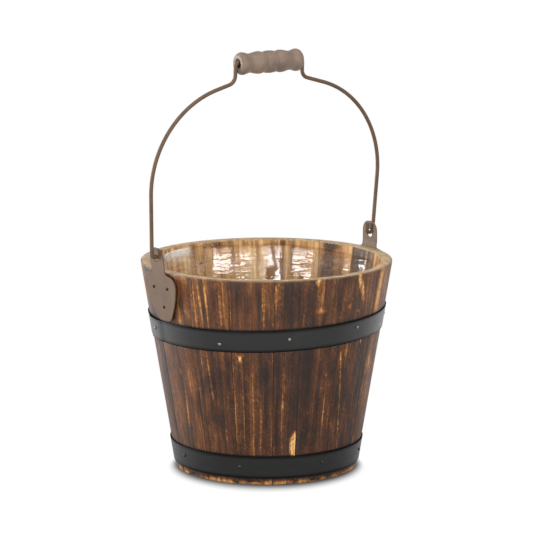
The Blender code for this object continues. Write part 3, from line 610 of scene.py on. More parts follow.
# Clear film: blown polyethylene, glossy and faintly milky
def make_clear_film():
    material, tree = new_material("clear_film")
    place = object_place(tree)
    # Ripples run round the bag where it is lively, and soft creases run down it everywhere
    level = add_node(
        tree, "ShaderNodeMapping", {"Vector": place, "Rotation": (0.12, 0.1, 0.0), "Scale": (55, 55, 260)}
    )
    ripple = noise_of(tree, level, 1.0, 2.0, Distortion=0.6)
    upright = add_node(tree, "ShaderNodeMapping", {"Vector": place, "Scale": (170, 170, 45)})
    crease = noise_of(tree, upright, 1.0, 3.0)
    rippled = bump_of(tree, ripple, attribute(tree, "lively"), 1.6 * MM)
    bump = bump_of(tree, crease, 0.5, 1.1 * MM, Normal=rippled)
    through = add_node(tree, "ShaderNodeBsdfTransparent", {"Color": srgb("#fbfaf8")})
    gloss = add_node(
        tree, "ShaderNodeBsdfAnisotropic", {"Color": srgb("#ffffff"), "Roughness": 0.05, "Normal": bump}
    )
    milk = add_node(tree, "ShaderNodeBsdfDiffuse", {"Color": srgb("#f4f2ee")})
    haze = add_node(tree, "ShaderNodeMixShader", {0: attribute(tree, "milky"), 1: through, 2: milk})
    # Seen from its back the face counts as the film's far side, so the index turns over
    back = add_node(tree, "ShaderNodeNewGeometry").outputs["Backfacing"]
    index = remap(tree, back, 0.0, 1.0, FILM_INDEX, 1 / FILM_INDEX)
    fresnel = add_node(tree, "ShaderNodeFresnel", {"IOR": index, "Normal": bump})
    film = add_node(tree, "ShaderNodeMixShader", {0: fresnel, 1: haze, 2: gloss})
    # Light that goes on to the wood passes as if the film weren't there
    path = add_node(tree, "ShaderNodeLightPath").outputs
    passing = calc(tree, "MAXIMUM", path["Is Shadow Ray"], path["Is Diffuse Ray"])
    # Where its top edge clings to the wood the film can't be seen
    passing = calc(tree, "MAXIMUM", passing, attribute(tree, "clinging"))
    mix = add_node(tree, "ShaderNodeMixShader", {0: passing, 1: film, 2: through})
    add_node(tree, "ShaderNodeOutputMaterial", {"Surface": mix})
    return material


# Staves

# How light the burning left each board, from 0 to 1, in the order of the solids
BOARD_TONES = (
    0.38, 0.32, 0.42, 0.3, 0.36, 0.44, 0.31, 0.4, 0.33,
    0.42, 0.36, 0.35, 0.33, 0.31, 0.34, 0.42, 0.37,
)
CORNER_EASE = 0.3 * MM
# A softened edge's points as (depth below the face, way along it), in shares of the ease
SOFT_CORNER = ((1.0, 0.0), (0.3, 0.3), (0.0, 1.0))
# Where the rings of a rounded end lie, in shares of its ease
END_SHARES = (0.0, 0.13, 0.5, 1.0)
ARC_STEPS = 12
CHORD_STEPS = 6
WALL_STEPS = 18
# How far a board may stand back from the others, and how deep the plane's waves are
SET_BACK = 0.22 * MM
PLANED_WAVE = 0.1 * MM
# How far apart the boards are cut from the grain, in metres
GRAIN_STEPS = (0.37, 0.21, 0.53)
# How far the rounded edges look like the sawn ends
SAWN_OUTER = 0.25
SAWN_INNER = 0.85


def stave_loop(k, outer_r, inner_r, round_inside):
    """Plan of a stave as (radius, direction, is inside), with its long edges softened."""
    middle, half = stave_span(k)

    def side(face_r, sense, steps):
        """Points along one face as (depth below it, direction). The sense is 1 or -1."""
        reach = sense * (half - FIT / 2 / face_r)
        turn = sense * CORNER_EASE / face_r
        start, end = middle - reach, middle + reach
        points = [(depth, start + turn * along) for depth, along in SOFT_CORNER]
        points += [(0.0, middle + (reach - turn) * (2 * i / steps - 1)) for i in range(1, steps)]
        points += [(depth, end - turn * along) for depth, along in reversed(SOFT_CORNER)]
        return points

    loop = [(outer_r - CORNER_EASE * depth, az, 0.0) for depth, az in side(outer_r, 1, ARC_STEPS)]
    for depth, az in side(inner_r, -1, CHORD_STEPS):
        r = inner_r if round_inside else inner_r * math.cos(half) / math.cos(az - middle)
        loop.append((r + CORNER_EASE * depth, az, 1.0))
    return loop


def stave_levels():
    """Heights of a stave's rings as (height, end ease, in the groove)."""
    ends = [(EDGE_EASE * share, EDGE_EASE * (1 - math.sqrt(share * (2 - share)))) for share in END_SHARES]
    levels = [(up, ease, False) for up, ease in ends]
    levels += [(FLOOR_LIFT - FIT, 0.0, False), (FLOOR_LIFT - FIT, 0.0, True)]
    levels += [(FLOOR_TOP + FIT, 0.0, True), (FLOOR_TOP + FIT, 0.0, False)]
    rise = BODY_H - EDGE_EASE - FLOOR_TOP
    levels += [(FLOOR_TOP + rise * i / WALL_STEPS, 0.0, False) for i in range(1, WALL_STEPS)]
    levels += [(BODY_H - down, ease, False) for down, ease in reversed(ends)]
    return levels


def make_staves(material):
    levels = stave_levels()
    shift = random.Random(11)
    groove_r = cone_r(FLOOR_LIFT) - STAVE_WALL + GROOVE_DEPTH
    rings_at_end = len(END_SHARES) - 1
    outer_points = ARC_STEPS - 1 + 2 * len(SOFT_CORNER)
    for k in range(STAVES):
        middle, _ = stave_span(k)
        set_back = SET_BACK * shift.random()
        grain_across, grain_deep, grain_up = (step * k for step in GRAIN_STEPS)
        points, grain, wall, sides = [], [], [], 0
        for z, ease, in_groove in levels:
            inner_r = groove_r if in_groove else cone_r(z) - STAVE_WALL + ease
            loop = stave_loop(k, cone_r(z) - ease, inner_r, in_groove)
            sides = len(loop)
            for r, az, is_inside in loop:
                if not is_inside:
                    ripple = noise.noise((az * 9.0, z * 14.0, k * 3.7))
                    r -= set_back + PLANED_WAVE * (1 + ripple)
                points.append(polar(r, az, z))
                across, deep = (az - middle) * cone_r(z), cone_r(z) - r
                grain.append((across + grain_across, deep + grain_deep, z + grain_up))
                degrees = front_degrees(middle) + math.degrees(az - middle)
                wall.append((degrees + BOARD_STEP * k, z / MM, is_inside))
        faces = loft_faces(len(levels), sides)
        sawn = []
        for index in range(len(faces)):
            level = index // sides
            at_end = level < rings_at_end or level >= len(levels) - 1 - rings_at_end
            share = SAWN_OUTER if index % sides < outer_points else SAWN_INNER
            sawn.append(share if at_end else 0.0)
        sawn[-2:] = [1.0, 1.0]
        name = f"stave_{k + 1:02d}"
        attributes = {
            "grain": ("FLOAT_VECTOR", "POINT", grain),
            "wall": ("FLOAT_VECTOR", "POINT", wall),
            "scorch": ("FLOAT", "POINT", [BOARD_TONES[k]] * len(points)),
            "sawn": ("FLOAT", "FACE", sawn),
        }
        stave = make_piece(f"scorched_{name}", points, faces, material, 40.0, attributes)
        attach(stave, "bucket", [name])


# Hoops

STRIP_EASE = 0.25 * MM
HOOP_DENT = 0.12 * MM
HOOP_STEPS = 220


def make_hoop(name, mid_z, tilt, height, lap_deg, material):
    """Strip that starts on top at the lap, steps down, runs round and ends under its start."""
    start = math.radians(lap_deg)
    r = cone_r(mid_z)
    end = start + math.tau + (LAP_L - FIT) / r
    soft = STRIP_EASE
    half = height / 2
    # The strip's section as (height, way out, how near its edge)
    section = (
        (-half + soft, 0.0, 0.0), (-half, soft, 1.0), (-half, HOOP_T - soft, 1.0),
        (-half + soft, HOOP_T, 1.0), (-half + 5 * soft, HOOP_T, 0.8), (-half / 3, HOOP_T, 0.0),
        (half / 3, HOOP_T, 0.0), (half - 5 * soft, HOOP_T, 0.8), (half - soft, HOOP_T, 1.0),
        (half, HOOP_T - soft, 1.0), (half, soft, 1.0), (half - soft, 0.0, 1.0), (0.0, 0.0, 0.0),
    )
    points, strip = [], []
    for i in range(HOOP_STEPS + 1):
        az = start + (end - start) * i / HOOP_STEPS
        along = (az - start) * r
        over = smooth(min(max((LAP_L + JOGGLE_L - along) / JOGGLE_L, 0.0), 1.0))
        lift = FIT + (HOOP_T + FIT) * over
        middle = mid_z + tilt * math.cos(az)
        for up, out, edge in section:
            z = middle + up
            wave = noise.noise((along * 45.0, up * 40.0, mid_z * 50.0))
            dent = HOOP_DENT * wave if out > 0 else 0.0
            points.append(polar(cone_r(z) + lift + out + dent, az, z))
            strip.append((along, up, edge))
    faces = loft_faces(HOOP_STEPS + 1, len(section))
    attributes = {"strip": ("FLOAT_VECTOR", "POINT", strip)}
    hoop = make_piece(f"strip_{name}", points, faces, material, 50.0, attributes, outward=True)
    attach(hoop, "bucket", [name])


# Ears

EAR_EASE = 0.3 * MM
# Only edges sharper than this are rounded
EAR_EDGE_DEG = 55


def make_ears(material):
    """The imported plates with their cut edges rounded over."""
    for side in ("left", "right"):
        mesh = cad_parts[f"ear_{side}"].data.copy()
        bm = bmesh.new()
        bm.from_mesh(mesh)
        bmesh.ops.remove_doubles(bm, verts=bm.verts[:], dist=0.002 * MM)
        bmesh.ops.dissolve_limit(bm, angle_limit=math.radians(0.6), verts=bm.verts[:], edges=bm.edges[:])
        bm.to_mesh(mesh)
        bm.free()
        mesh.materials.clear()
        mesh.materials.append(material)
        ear = add_object(f"painted_ear_{side}", mesh)
        bevel = ear.modifiers.new("rounded_edge", "BEVEL")
        bevel.width = EAR_EASE
        bevel.segments = 2
        bevel.limit_method = "ANGLE"
        bevel.angle_limit = math.radians(EAR_EDGE_DEG)
        bevel.harden_normals = False
        settle(ear)
        ear.data.shade_smooth()
        ear.data.set_sharp_from_angle(angle=math.radians(15))
        attach(ear, "bucket", [f"ear_{side}"])


# Nails and tacks

# A nail head's outline as (height, radius), in shares of its own
HEAD_DOME = ((0.0, 0.93), (0.12, 1.0), (0.4, 0.97), (0.65, 0.85), (0.85, 0.64), (0.96, 0.36), (1.0, 0.12))
# The point's blunt end and length, in shares of the shank's radius
POINT_R = 0.35
POINT_L = 2.5
NAIL_SIDES = 16
NAIL_TIP_DEG = 3
# How far round a packed nail's point and crown its points are gathered
POINT_REACH = 1.2 * MM
CROWN_REACH = 0.12 * MM


def make_nail_pattern(name, head_r, head_h, shank_r, length, material):
    """One nail, head up, its head's underside at the origin."""
    profile = [(-length, POINT_R * shank_r), (-length + POINT_L * shank_r, shank_r), (0.0, shank_r)]
    profile += [(up * head_h, out * head_r) for up, out in HEAD_DOME]
    points = [polar(r, math.tau * i / NAIL_SIDES, z) for z, r in profile for i in range(NAIL_SIDES)]
    return make_piece(name, points, loft_faces(len(profile), NAIL_SIDES), material, 50.0)


def make_nail_tree():
    """Sets a nail on each point, along the point's outward direction, turned and tipped a little."""
    sockets = (
        ("Geometry", "Geometry"), ("Nail", "Object"), ("Tip", "Float"), ("Seed", "Int"),
        ("Finish", "Material"),
    )
    tree, given = new_group("set_nails", "GeometryNodeTree", sockets, ("Geometry", "Geometry"))
    nail = add_node(tree, "GeometryNodeObjectInfo", {"Object": given["Nail"]})
    outward = add_node(tree, "GeometryNodeInputNamedAttribute", {"Name": "outward"}, data_type="FLOAT_VECTOR")
    aimed = add_node(tree, "FunctionNodeAlignRotationToVector", {"Vector": outward}, axis="Z")
    low = calc(tree, "MULTIPLY", given["Tip"], -1.0)
    least = add_node(tree, "ShaderNodeCombineXYZ", {0: low, 1: low, 2: -math.pi})
    most = add_node(tree, "ShaderNodeCombineXYZ", {0: given["Tip"], 1: given["Tip"], 2: math.pi})
    random_turn = add_node(
        tree, "FunctionNodeRandomValue", {0: least, 1: most, "Seed": given["Seed"]}, data_type="FLOAT_VECTOR"
    )
    turn = add_node(tree, "FunctionNodeEulerToRotation", {0: random_turn})
    facing = add_node(tree, "FunctionNodeRotateRotation", {0: aimed, 1: turn}, rotation_space="LOCAL")
    placed = add_node(
        tree, "GeometryNodeInstanceOnPoints",
        {"Points": given["Geometry"], "Instance": nail.outputs["Geometry"], "Rotation": facing},
    )
    real = add_node(tree, "GeometryNodeRealizeInstances", {"Geometry": placed})
    painted = add_node(tree, "GeometryNodeSetMaterial", {"Geometry": real, "Material": given["Finish"]})
    add_node(tree, "NodeGroupOutput", {0: painted})
    return tree


def drive_nails(name, seats, nail, tree, seed, nodes):
    """Seats are (place, outward). The result is one mesh of whole nails."""
    mesh = bpy.data.meshes.new(name)
    mesh.from_pydata([tuple(seat) for seat, _ in seats], [], [])
    mesh.attributes.new("outward", "FLOAT_VECTOR", "POINT").data.foreach_set(
        "vector", [x for _, outward in seats for x in outward]
    )
    nails = add_object(name, mesh)
    run_tree(nails, tree, {
        "Nail": nail, "Tip": math.radians(NAIL_TIP_DEG), "Seed": seed, "Finish": nail.data.materials[0],
    })
    settle(nails)
    attach(nails, "bucket", nodes)


def seat_of(node, head_h):
    """Where a packed nail's head sits and which way it points, from its own points."""
    co = [v.co.copy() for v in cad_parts[node].data.vertices]

    def middle_of(points):
        return sum(points, Vector()) / len(points)

    centre = middle_of(co)
    tip = max(co, key=lambda p: (p - centre).length)
    tip = middle_of([p for p in co if (p - tip).length < POINT_REACH])
    far = max((p - tip).length for p in co)
    crown = middle_of([p for p in co if (p - tip).length > far - CROWN_REACH])
    outward = (crown - tip).normalized()
    return crown - outward * head_h, outward


def make_nails():
    tree = make_nail_tree()
    bright = make_nail_steel("bright_nail_steel", "#7d7d7b", 0.42)
    dull = make_nail_steel("dull_nail_steel", "#45423e", 0.5)
    blackened = make_nail_steel("blackened_nail_steel", "#2e2b28", 0.55)
    groups = (
        ("upper_hoop_nails", "upper_hoop_nail", 9, 1.7, 0.9, 0.75, 8.5, bright, 3),
        ("lower_hoop_nails", "lower_hoop_nail", 8, 1.7, 0.9, 0.75, 18.0, dull, 4),
        ("left_ear_nails", "ear_left_nail", 3, 1.7, 0.9, 0.75, 9.0, blackened, 5),
        ("right_ear_nails", "ear_right_nail", 3, 1.7, 0.9, 0.75, 9.0, blackened, 6),
        ("film_tacks", "liner_tack", 5, 1.6, 0.8, 0.5, 5.5, bright, 7),
    )
    for name, prefix, count, head_r, head_h, shank_r, length, steel, seed in groups:
        sizes = (head_r * MM, head_h * MM, shank_r * MM, length * MM)
        pattern = make_nail_pattern(name + "_pattern", *sizes, steel)
        nodes = [f"{prefix}_{n + 1}" for n in range(count)]
        seats = [seat_of(node, head_h * MM) for node in nodes]
        drive_nails(name, seats, pattern, tree, seed, nodes)
        bpy.data.objects.remove(pattern)


# Bail

ARCH_STEPS = 40
BEND_STEP_DEG = 9
WIRE_SIDES = 20


def bail_half_path(side):
    """One half's centre line, drawn toward +X, from the hook's tip to the grip's middle."""
    splay, end = math.radians(LEG_SPLAY_DEG), math.radians(ARCH_SWEEP_DEG)
    straight = (ARCH_CENTRE_UP - ARCH_R * math.sin(splay)) / math.cos(splay)
    centre = Vector((LEG_X + straight * math.sin(splay) - ARCH_R * math.cos(splay), ARCH_CENTRE_UP))

    def on_arch(angle):
        return centre + ARCH_R * Vector((math.cos(angle), math.sin(angle)))

    arch_end = on_arch(end)
    crank = GRIP_L / 2 + GRIP_END_PLAY + WIRE_R + side * CRANK_SHIFT
    corner_up = arch_end.y + (arch_end.x - crank) / math.tan(end)
    hook_x, hook_l = (RIGHT_HOOK_X, RIGHT_HOOK_L) if side > 0 else (LEFT_HOOK_X, LEFT_HOOK_L)
    lower = rounded((
        (hook_x, hook_l, 0.0), (hook_x, 0.0, HOOK_BEND_R), (LEG_X, 0.0, HOOK_BEND_R), (*on_arch(-splay), 0.0),
    ), BEND_STEP_DEG)
    arch = [on_arch(-splay + (end + splay) * i / ARCH_STEPS) for i in range(1, ARCH_STEPS)]
    upper = rounded((
        (*arch_end, 0.0), (crank, corner_up, CRANK_LOW_BEND_R),
        (crank, CRANK_TOP_UP, CRANK_HIGH_BEND_R), (0.0, CRANK_TOP_UP, 0.0),
    ), BEND_STEP_DEG)
    return lower + arch + upper


def make_wire_tree():
    """Draws a round wire along a curve."""
    sockets = (("Geometry", "Geometry"), ("Wire Radius", "Float"), ("Sides", "Int"), ("Finish", "Material"))
    tree, given = new_group("draw_wire", "GeometryNodeTree", sockets, ("Geometry", "Geometry"))
    ring = add_node(
        tree, "GeometryNodeCurvePrimitiveCircle",
        {"Resolution": given["Sides"], "Radius": given["Wire Radius"]},
    )
    wire = add_node(
        tree, "GeometryNodeCurveToMesh",
        {"Curve": given["Geometry"], "Profile Curve": ring.outputs["Curve"], "Fill Caps": True},
    )
    shaded = add_node(tree, "GeometryNodeSetShadeSmooth", {"Geometry": wire})
    real = add_node(tree, "GeometryNodeRealizeInstances", {"Geometry": shaded})
    painted = add_node(tree, "GeometryNodeSetMaterial", {"Geometry": real, "Material": given["Finish"]})
    add_node(tree, "NodeGroupOutput", {0: painted})
    return tree


def bail_place():
    return Matrix.Translation((BAIL_SLIDE, 0, HINGE_Z)) @ Matrix.Rotation(math.radians(BAIL_LEAN_DEG), 4, "X")


def make_bail(material):
    flat = bail_half_path(1) + [Vector((-p.x, p.y)) for p in reversed(bail_half_path(-1)[:-1])]
    place = bail_place()
    curve = bpy.data.curves.new("bail_path", "CURVE")
    curve.dimensions = "3D"
    spline = curve.splines.new("POLY")
    spline.points.add(len(flat) - 1)
    for point, p in zip(spline.points, flat):
        point.co = (*(place @ Vector((p.x, 0, p.y))), 1.0)
    drawn = add_object("bail_path", curve)
    run_tree(drawn, make_wire_tree(), {"Wire Radius": WIRE_R, "Sides": WIRE_SIDES, "Finish": material})
    mesh = worked_mesh(drawn)
    bpy.data.objects.remove(drawn)
    face_outward(mesh)
    mesh.set_sharp_from_angle(angle=math.radians(50))
    bail = add_object("painted_bail", mesh)
    attach(bail, "bail", ["bail_wire"])


# Grip

BULB_BACK = 5 * MM
BULB_FACE_R = 7 * MM
BULB_STEPS = 10
MOUTH_EASE = 1.4 * MM
# Beads and hollows from the middle out, as (distance along, radius) in millimetres
GRIP_STATIONS = (
    (0.0, 11.5), (4.5, 11.15), (5.8, 10.2), (13.3, 11.5), (24.7, 9.8), (33.0, 11.5),
)
GRIP_STEP_L = 0.8 * MM
GRIP_SIDES = 48


def grip_profile():
    """Outer side from the middle to the end face, as (distance along, radius)."""
    stations = [(a * MM, r * MM) for a, r in GRIP_STATIONS]
    points = [stations[0]]
    for (a, ra), (b, rb) in zip(stations, stations[1:]):
        steps = max(4, round((b - a) / GRIP_STEP_L))
        for i in range(1, steps + 1):
            share = i / steps
            ease = (1 - math.cos(math.pi * share)) / 2
            points.append((a + (b - a) * share, ra + (rb - ra) * ease))
    for i in range(1, BULB_STEPS + 1):
        angle = math.pi / 2 * i / BULB_STEPS
        along = GRIP_L / 2 - BULB_BACK + BULB_BACK * math.sin(angle)
        points.append((along, BULB_FACE_R + (GRIP_R - BULB_FACE_R) * math.cos(angle)))
    return points


def make_grip(material):
    end = GRIP_L / 2
    mouth = [(end - MOUTH_EASE * 0.3, GRIP_BORE_R + 0.4 * MM), (end - MOUTH_EASE, GRIP_BORE_R)]
    right = grip_profile() + mouth
    loop = [(-a, r) for a, r in reversed(right)][:-1] + right
    axis_up = CRANK_TOP_UP - (GRIP_BORE_R - WIRE_R - FIT)
    place = bail_place() @ Matrix.Translation((CRANK_SHIFT + GRIP_SLIDE, 0, axis_up))
    points = []
    for along, r in loop:
        for n in range(GRIP_SIDES):
            turn = math.tau * n / GRIP_SIDES
            points.append(place @ Vector((along, r * math.cos(turn), r * math.sin(turn))))
    # The mouths join through the bore as one closed skin
    faces = loft_faces(len(loop), GRIP_SIDES, closed=True)
    grip = make_piece("turned_grip", points, faces, material, 50.0, outward=True)
    attach(grip, "grip", ["handle_grip"])


# Film liner

FILM_T = 0.15 * MM
FILM_COLUMNS = 360
FILM_DEGREES = [i * 360 / FILM_COLUMNS - 180 for i in range(FILM_COLUMNS)]
# Rings of the film from the hem's end to the floor's middle: kind, steps, first and last kept
FILM_ROWS = (
    ("hem", 3, 0, 2), ("fold", 4, 0, 4), ("wall", 56, 1, 56), ("corner", 6, 1, 6), ("floor", 16, 1, 15),
)
# Gap behind the film, its fold's radius, its bend's radius at the floor and its height there
FILM_OFF = 0.6 * MM
FOLD_R = 0.45 * MM
BEND_R = 6 * MM
FILM_LOW = FLOOR_TOP + 2.0 * MM
# How far round a tack the film is drawn to the wall, and the tacks' distance from the axis
TACK_REACH = 9 * MM
TACK_R = 0.12
# How far the film's top edge is turned down, in millimetres, by direction
HEMS = (
    (-180, 1.2), (54, 1.2), (60, 4.0), (70, 4.0), (75, 1.2), (97, 1.2), (105, 8.0), (122, 8.0), (130, 1.2),
    (180, 1.2),
)
# Height of the film's top edge in millimetres, by direction in degrees
FILM_TOPS = (
    (-180, 210), (-120, 211), (-60, 209), (-30, 208), (0, 207), (25, 209), (50, 211.5),
    (75, 211), (90, 213), (105, 213.5), (140, 212), (180, 210),
)
# How far the film's face turns from the wall's, in degrees, by direction
FILM_TURNS = (
    (-180, 0), (-150, 8), (-135, -8), (-110, 7), (-95, -9), (-70, 8), (-50, -8), (-32, 6), (-20, -8),
    (-8, 3), (10, -3), (22, 2), (29, -8), (32.5, 7.4), (40, 7.4), (44, -9), (49.2, -6.6), (51.6, -6.6),
    (54, 9), (61, 5), (72, 5), (75, -4), (78.5, -11), (84.5, -11), (88, 9), (100, 8), (112, -7), (128, 6),
    (145, -5), (165, 5), (180, 0),
)

# How far a pleat wanders sideways on its way up, at most
FILM_WANDER_DEG = 4.5
# How crumpled the film is, by direction
FILM_CRUMPLE = (
    (-180, 1.0), (-12, 0.6), (0, 0.3), (28, 0.3), (31, 0.25), (54, 0.2), (59, 0.8), (74, 0.8),
    (78, 0.35), (88, 0.35), (92, 1.0), (180, 1.2),
)
# Its crumples, large to small: part, waves per degree, waves per metre and seed
CRUMPLES = ((0.7, 0.1, 40.0, 1.0), (0.3, 0.3, 90.0, 5.0), (0.08, 0.9, 220.0, 9.0))
CRUMPLE_DEPTH = 0.9 * MM
CRUMPLE_REST = 0.35
# Height of the lumps in the film on the floor
LUMP_H = 1.4 * MM
# How milky the film is, and how much more so where it is folded double
FILM_MILK = 0.012
FOLD_MILK = 0.3
# Where the folded edge shows, by direction
FILM_FOLD_SHOWN = ((-180, 0), (98, 0), (104, 0.9), (122, 0.9), (130, 0), (180, 0))


def along_table(table, degrees):
    """Value of a table of (direction, value), eased between its rows."""
    for (a, va), (b, vb) in zip(table, table[1:]):
        if a <= degrees <= b:
            return va + (vb - va) * smooth((degrees - a) / (b - a))
    return table[-1][1]


def film_pleats():
    """How far the film stands off the wall in each column, so that it turns as the table says."""
    step = math.tau * (RIM_R - STAVE_WALL - 4 * MM) / FILM_COLUMNS
    turns = [math.tan(math.radians(along_table(FILM_TURNS, degrees))) for degrees in FILM_DEGREES]
    mean = sum(turns) / len(turns)
    depth, pleats = 0.0, []
    for turn in turns:
        depth += (turn - mean) * step
        pleats.append(depth)
    low = min(pleats)
    return [p - low for p in pleats]


def pleat_at(pleats, degrees):
    """The pleats' depth between two columns."""
    place = (degrees + 180) * FILM_COLUMNS / 360
    before = math.floor(place)
    share = place - before
    return pleats[before % FILM_COLUMNS] * (1 - share) + pleats[(before + 1) % FILM_COLUMNS] * share


def wall_r(z, az):
    """The staves' inner faces, with the film's own rounding over their corners."""
    spread = [chord_r(z, az + math.radians(d)) for d in (-5, -2.5, 0, 2.5, 5)]
    return min(sum(spread) / 5, spread[2])


def film_ring(kind, share, pleats, tacks):
    """One ring of the film. The share is how far the ring lies through its kind."""
    points = []
    for degrees in FILM_DEGREES:
        az = math.radians(degrees)
        top = along_table(FILM_TOPS, degrees) * MM + 0.8 * MM * noise.noise((degrees * 0.09, 3.1, 0.0))
        hem = along_table(HEMS, degrees) * MM * (1 + 0.3 * noise.noise((degrees * 0.05, 7.7, 0.0)))
        rise, crumple = 0.0, 0.0
        if kind == "hem":
            z, off = top - hem * (1 - share), FILM_OFF + 2 * FOLD_R
        elif kind == "fold":
            angle = math.pi * share
            z, off = top + FOLD_R * math.sin(angle), FILM_OFF + FOLD_R * (1 + math.cos(angle))
        elif kind == "wall":
            z, off = top + (FILM_LOW + BEND_R - top) * share, FILM_OFF
        elif kind == "corner":
            angle = math.pi / 2 * share
            z, off = FILM_LOW + BEND_R * (1 - math.sin(angle)), FILM_OFF + BEND_R * (1 - math.cos(angle))
            rise = 1 - share
        else:
            z, off = FILM_LOW, FILM_OFF + BEND_R
        if kind in ("hem", "fold", "wall"):
            rise = 1.0
            for part, per_degree, per_metre, seed in CRUMPLES:
                crumple += part * noise.noise((degrees * per_degree, z * per_metre, seed))
            crumple *= along_table(FILM_CRUMPLE, degrees)
        # The film lies against the wall at its tacks
        away = [math.hypot((az - tack_az) * TACK_R, z - tack_z) for tack_az, tack_z in tacks]
        held = min(min(away) / TACK_REACH, 1.0)
        wander = FILM_WANDER_DEG * noise.noise((math.cos(az) * 3.0, math.sin(az) * 3.0, z * 38.0))
        creased = CRUMPLE_DEPTH * max(0.0, crumple + CRUMPLE_REST)
        r = wall_r(z, az) - off - (pleat_at(pleats, degrees + wander) * rise + creased) * held
        if kind == "floor":
            r *= 1 - share
            lump = noise.noise((r * 45 * math.cos(az), r * 45 * math.sin(az), 2.0))
            z += LUMP_H * max(0.0, lump + 0.2)
        points.append(polar(r, az, z))
    return points


def make_liner(material):
    pleats = film_pleats()
    tacks = []
    for n in range(1, 6):
        low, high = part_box(f"liner_tack_{n}")
        middle = (low + high) / 2
        tacks.append((math.atan2(middle.y, middle.x), middle.z))
    rows = [(kind, i / steps) for kind, steps, first, last in FILM_ROWS for i in range(first, last + 1)]
    points, clinging, milky = [], [], []
    for kind, share in rows:
        points += film_ring(kind, share, pleats, tacks)
        edge = 1.0 if kind in ("hem", "fold") else max(0.0, 1 - share * 12) if kind == "wall" else 0.0
        shown = [along_table(FILM_FOLD_SHOWN, degrees) for degrees in FILM_DEGREES]
        clinging += [edge * (1 - part) for part in shown]
        milky += [FILM_MILK + edge * FOLD_MILK * part for part in shown]
    faces = loft_faces(len(rows), FILM_COLUMNS, capped=False)
    ring = (len(rows) - 1) * FILM_COLUMNS
    faces += [(ring + i, ring + (i + 1) % FILM_COLUMNS, len(points)) for i in range(FILM_COLUMNS)]
    points.append(Vector((0, 0, FILM_LOW + 0.2 * MM)))
    lively = [min(along_table(FILM_CRUMPLE, degrees), 1.0) for degrees in FILM_DEGREES]
    attributes = {
        "lively": ("FLOAT", "POINT", lively * len(rows) + [1.0]),
        "clinging": ("FLOAT", "POINT", clinging + [0.0]),
        "milky": ("FLOAT", "POINT", milky + [FILM_MILK]),
    }
    film = make_piece("film_liner", points, faces, material, 60.0, attributes)
    thick = film.modifiers.new("film_thickness", "SOLIDIFY")
    thick.thickness = FILM_T
    thick.offset = 0.0
    settle(film)
    attach(film, "bucket", ["liner"])


# Floor, lights and camera

# Where the painted shadow on the floor starts, and the oval where it ends
SHADOW_START_R = 92 * MM
SHADOW_HALF_WIDTH = 103 * MM
SHADOW_HALF_DEPTH = 111 * MM
SHADOW_SHIFT = 17 * MM
# Half the floor's side
FLOOR_HALF = 9.0
# Direction to the camera along the floor
TO_CAMERA = (-0.56, -0.83, 0.0)

# The photo's camera: its turn about the bucket, its tilt from straight down, its place and lens
VIEW_DEG = 34.3
EYE_TILT_DEG = 79.71
EYE = (-1.6142, -2.3664, 0.7276)
LENS_MM = 190.73
SENSOR_MM = 36.0


def make_floor():
    """White paper with a painted dark shadow close to the foot, fading to pure white beyond."""
    material, tree = new_material("studio_floor")
    place = object_place(tree)
    away = vector_calc(tree, "LENGTH", place).outputs[1]
    # The painted shadow starts under the foot and ends on an oval that reaches further to the front
    turned = add_node(
        tree, "ShaderNodeVectorRotate", {0: place, 3: math.radians(VIEW_DEG)}, rotation_type="Z_AXIS"
    )
    oval = (1 / SHADOW_HALF_WIDTH, 1 / SHADOW_HALF_DEPTH, 0.0)
    shift = (0.0, SHADOW_SHIFT / SHADOW_HALF_DEPTH, 0.0)
    outer = vector_calc(tree, "LENGTH", vector_calc(tree, "MULTIPLY_ADD", turned, oval, shift)).outputs[1]
    inner = calc(tree, "DIVIDE", away, SHADOW_START_R)
    past = calc(tree, "SUBTRACT", inner, 1.0)
    span = calc(tree, "SUBTRACT", inner, outer)
    beyond = remap(tree, calc(tree, "DIVIDE", past, span), 0.0, 1.0, kind="SMOOTHSTEP")
    # Painted shadow: near the foot the paper is a dark grey, which the lamps then light
    near = add_node(tree, "ShaderNodeBsdfDiffuse", {"Color": srgb("#5c5c5c")})
    white = add_node(tree, "ShaderNodeEmission", {"Color": srgb("#ffffff"), "Strength": 1.0})
    seen = add_node(tree, "ShaderNodeMixShader", {0: beyond, 1: near, 2: white})
    # As light on the bucket the paper glows, which is painted light: softer, darker toward the foot as
    # painted shade, and brighter behind it
    spread = remap(tree, away, 0.09, 0.5, 0.42, 0.85)
    toward = vector_calc(tree, "NORMALIZE", place)
    front = vector_calc(tree, "DOT_PRODUCT", toward, TO_CAMERA).outputs[1]
    spread = calc(tree, "MULTIPLY", spread, remap(tree, front, 0.5, -0.5, 1.0, 1.5))
    soft = add_node(tree, "ShaderNodeEmission", {"Color": srgb("#ffffff"), "Strength": spread})
    path = add_node(tree, "ShaderNodeLightPath").outputs["Is Camera Ray"]
    mix = add_node(tree, "ShaderNodeMixShader", {0: path, 1: soft, 2: seen})
    add_node(tree, "ShaderNodeOutputMaterial", {"Surface": mix})
    half = FLOOR_HALF
    corners = [(-half, -half, 0), (half, -half, 0), (half, half, 0), (-half, half, 0)]
    floor = make_piece("studio_floor", corners, [(0, 1, 2, 3)], material)


def make_world():
    """Even white room: seen, mirrored and looked through at full white, and softer as light."""
    world = bpy.data.worlds.new("white_room")
    bpy.context.scene.world = world
    world.use_nodes = True
    tree = world.node_tree
    tree.nodes.clear()
    path = add_node(tree, "ShaderNodeLightPath").outputs
    seen = calc(tree, "MAXIMUM", path["Is Camera Ray"], path["Is Glossy Ray"])
    seen = calc(tree, "MAXIMUM", seen, path["Is Transmission Ray"])
    soft = add_node(tree, "ShaderNodeBackground", {"Color": srgb("#ffffff"), "Strength": 0.5})
    white = add_node(tree, "ShaderNodeBackground", {"Color": srgb("#ffffff"), "Strength": 1.0})
    mix = add_node(tree, "ShaderNodeMixShader", {0: seen, 1: soft, 2: white})
    add_node(tree, "ShaderNodeOutputWorld", {"Surface": mix})


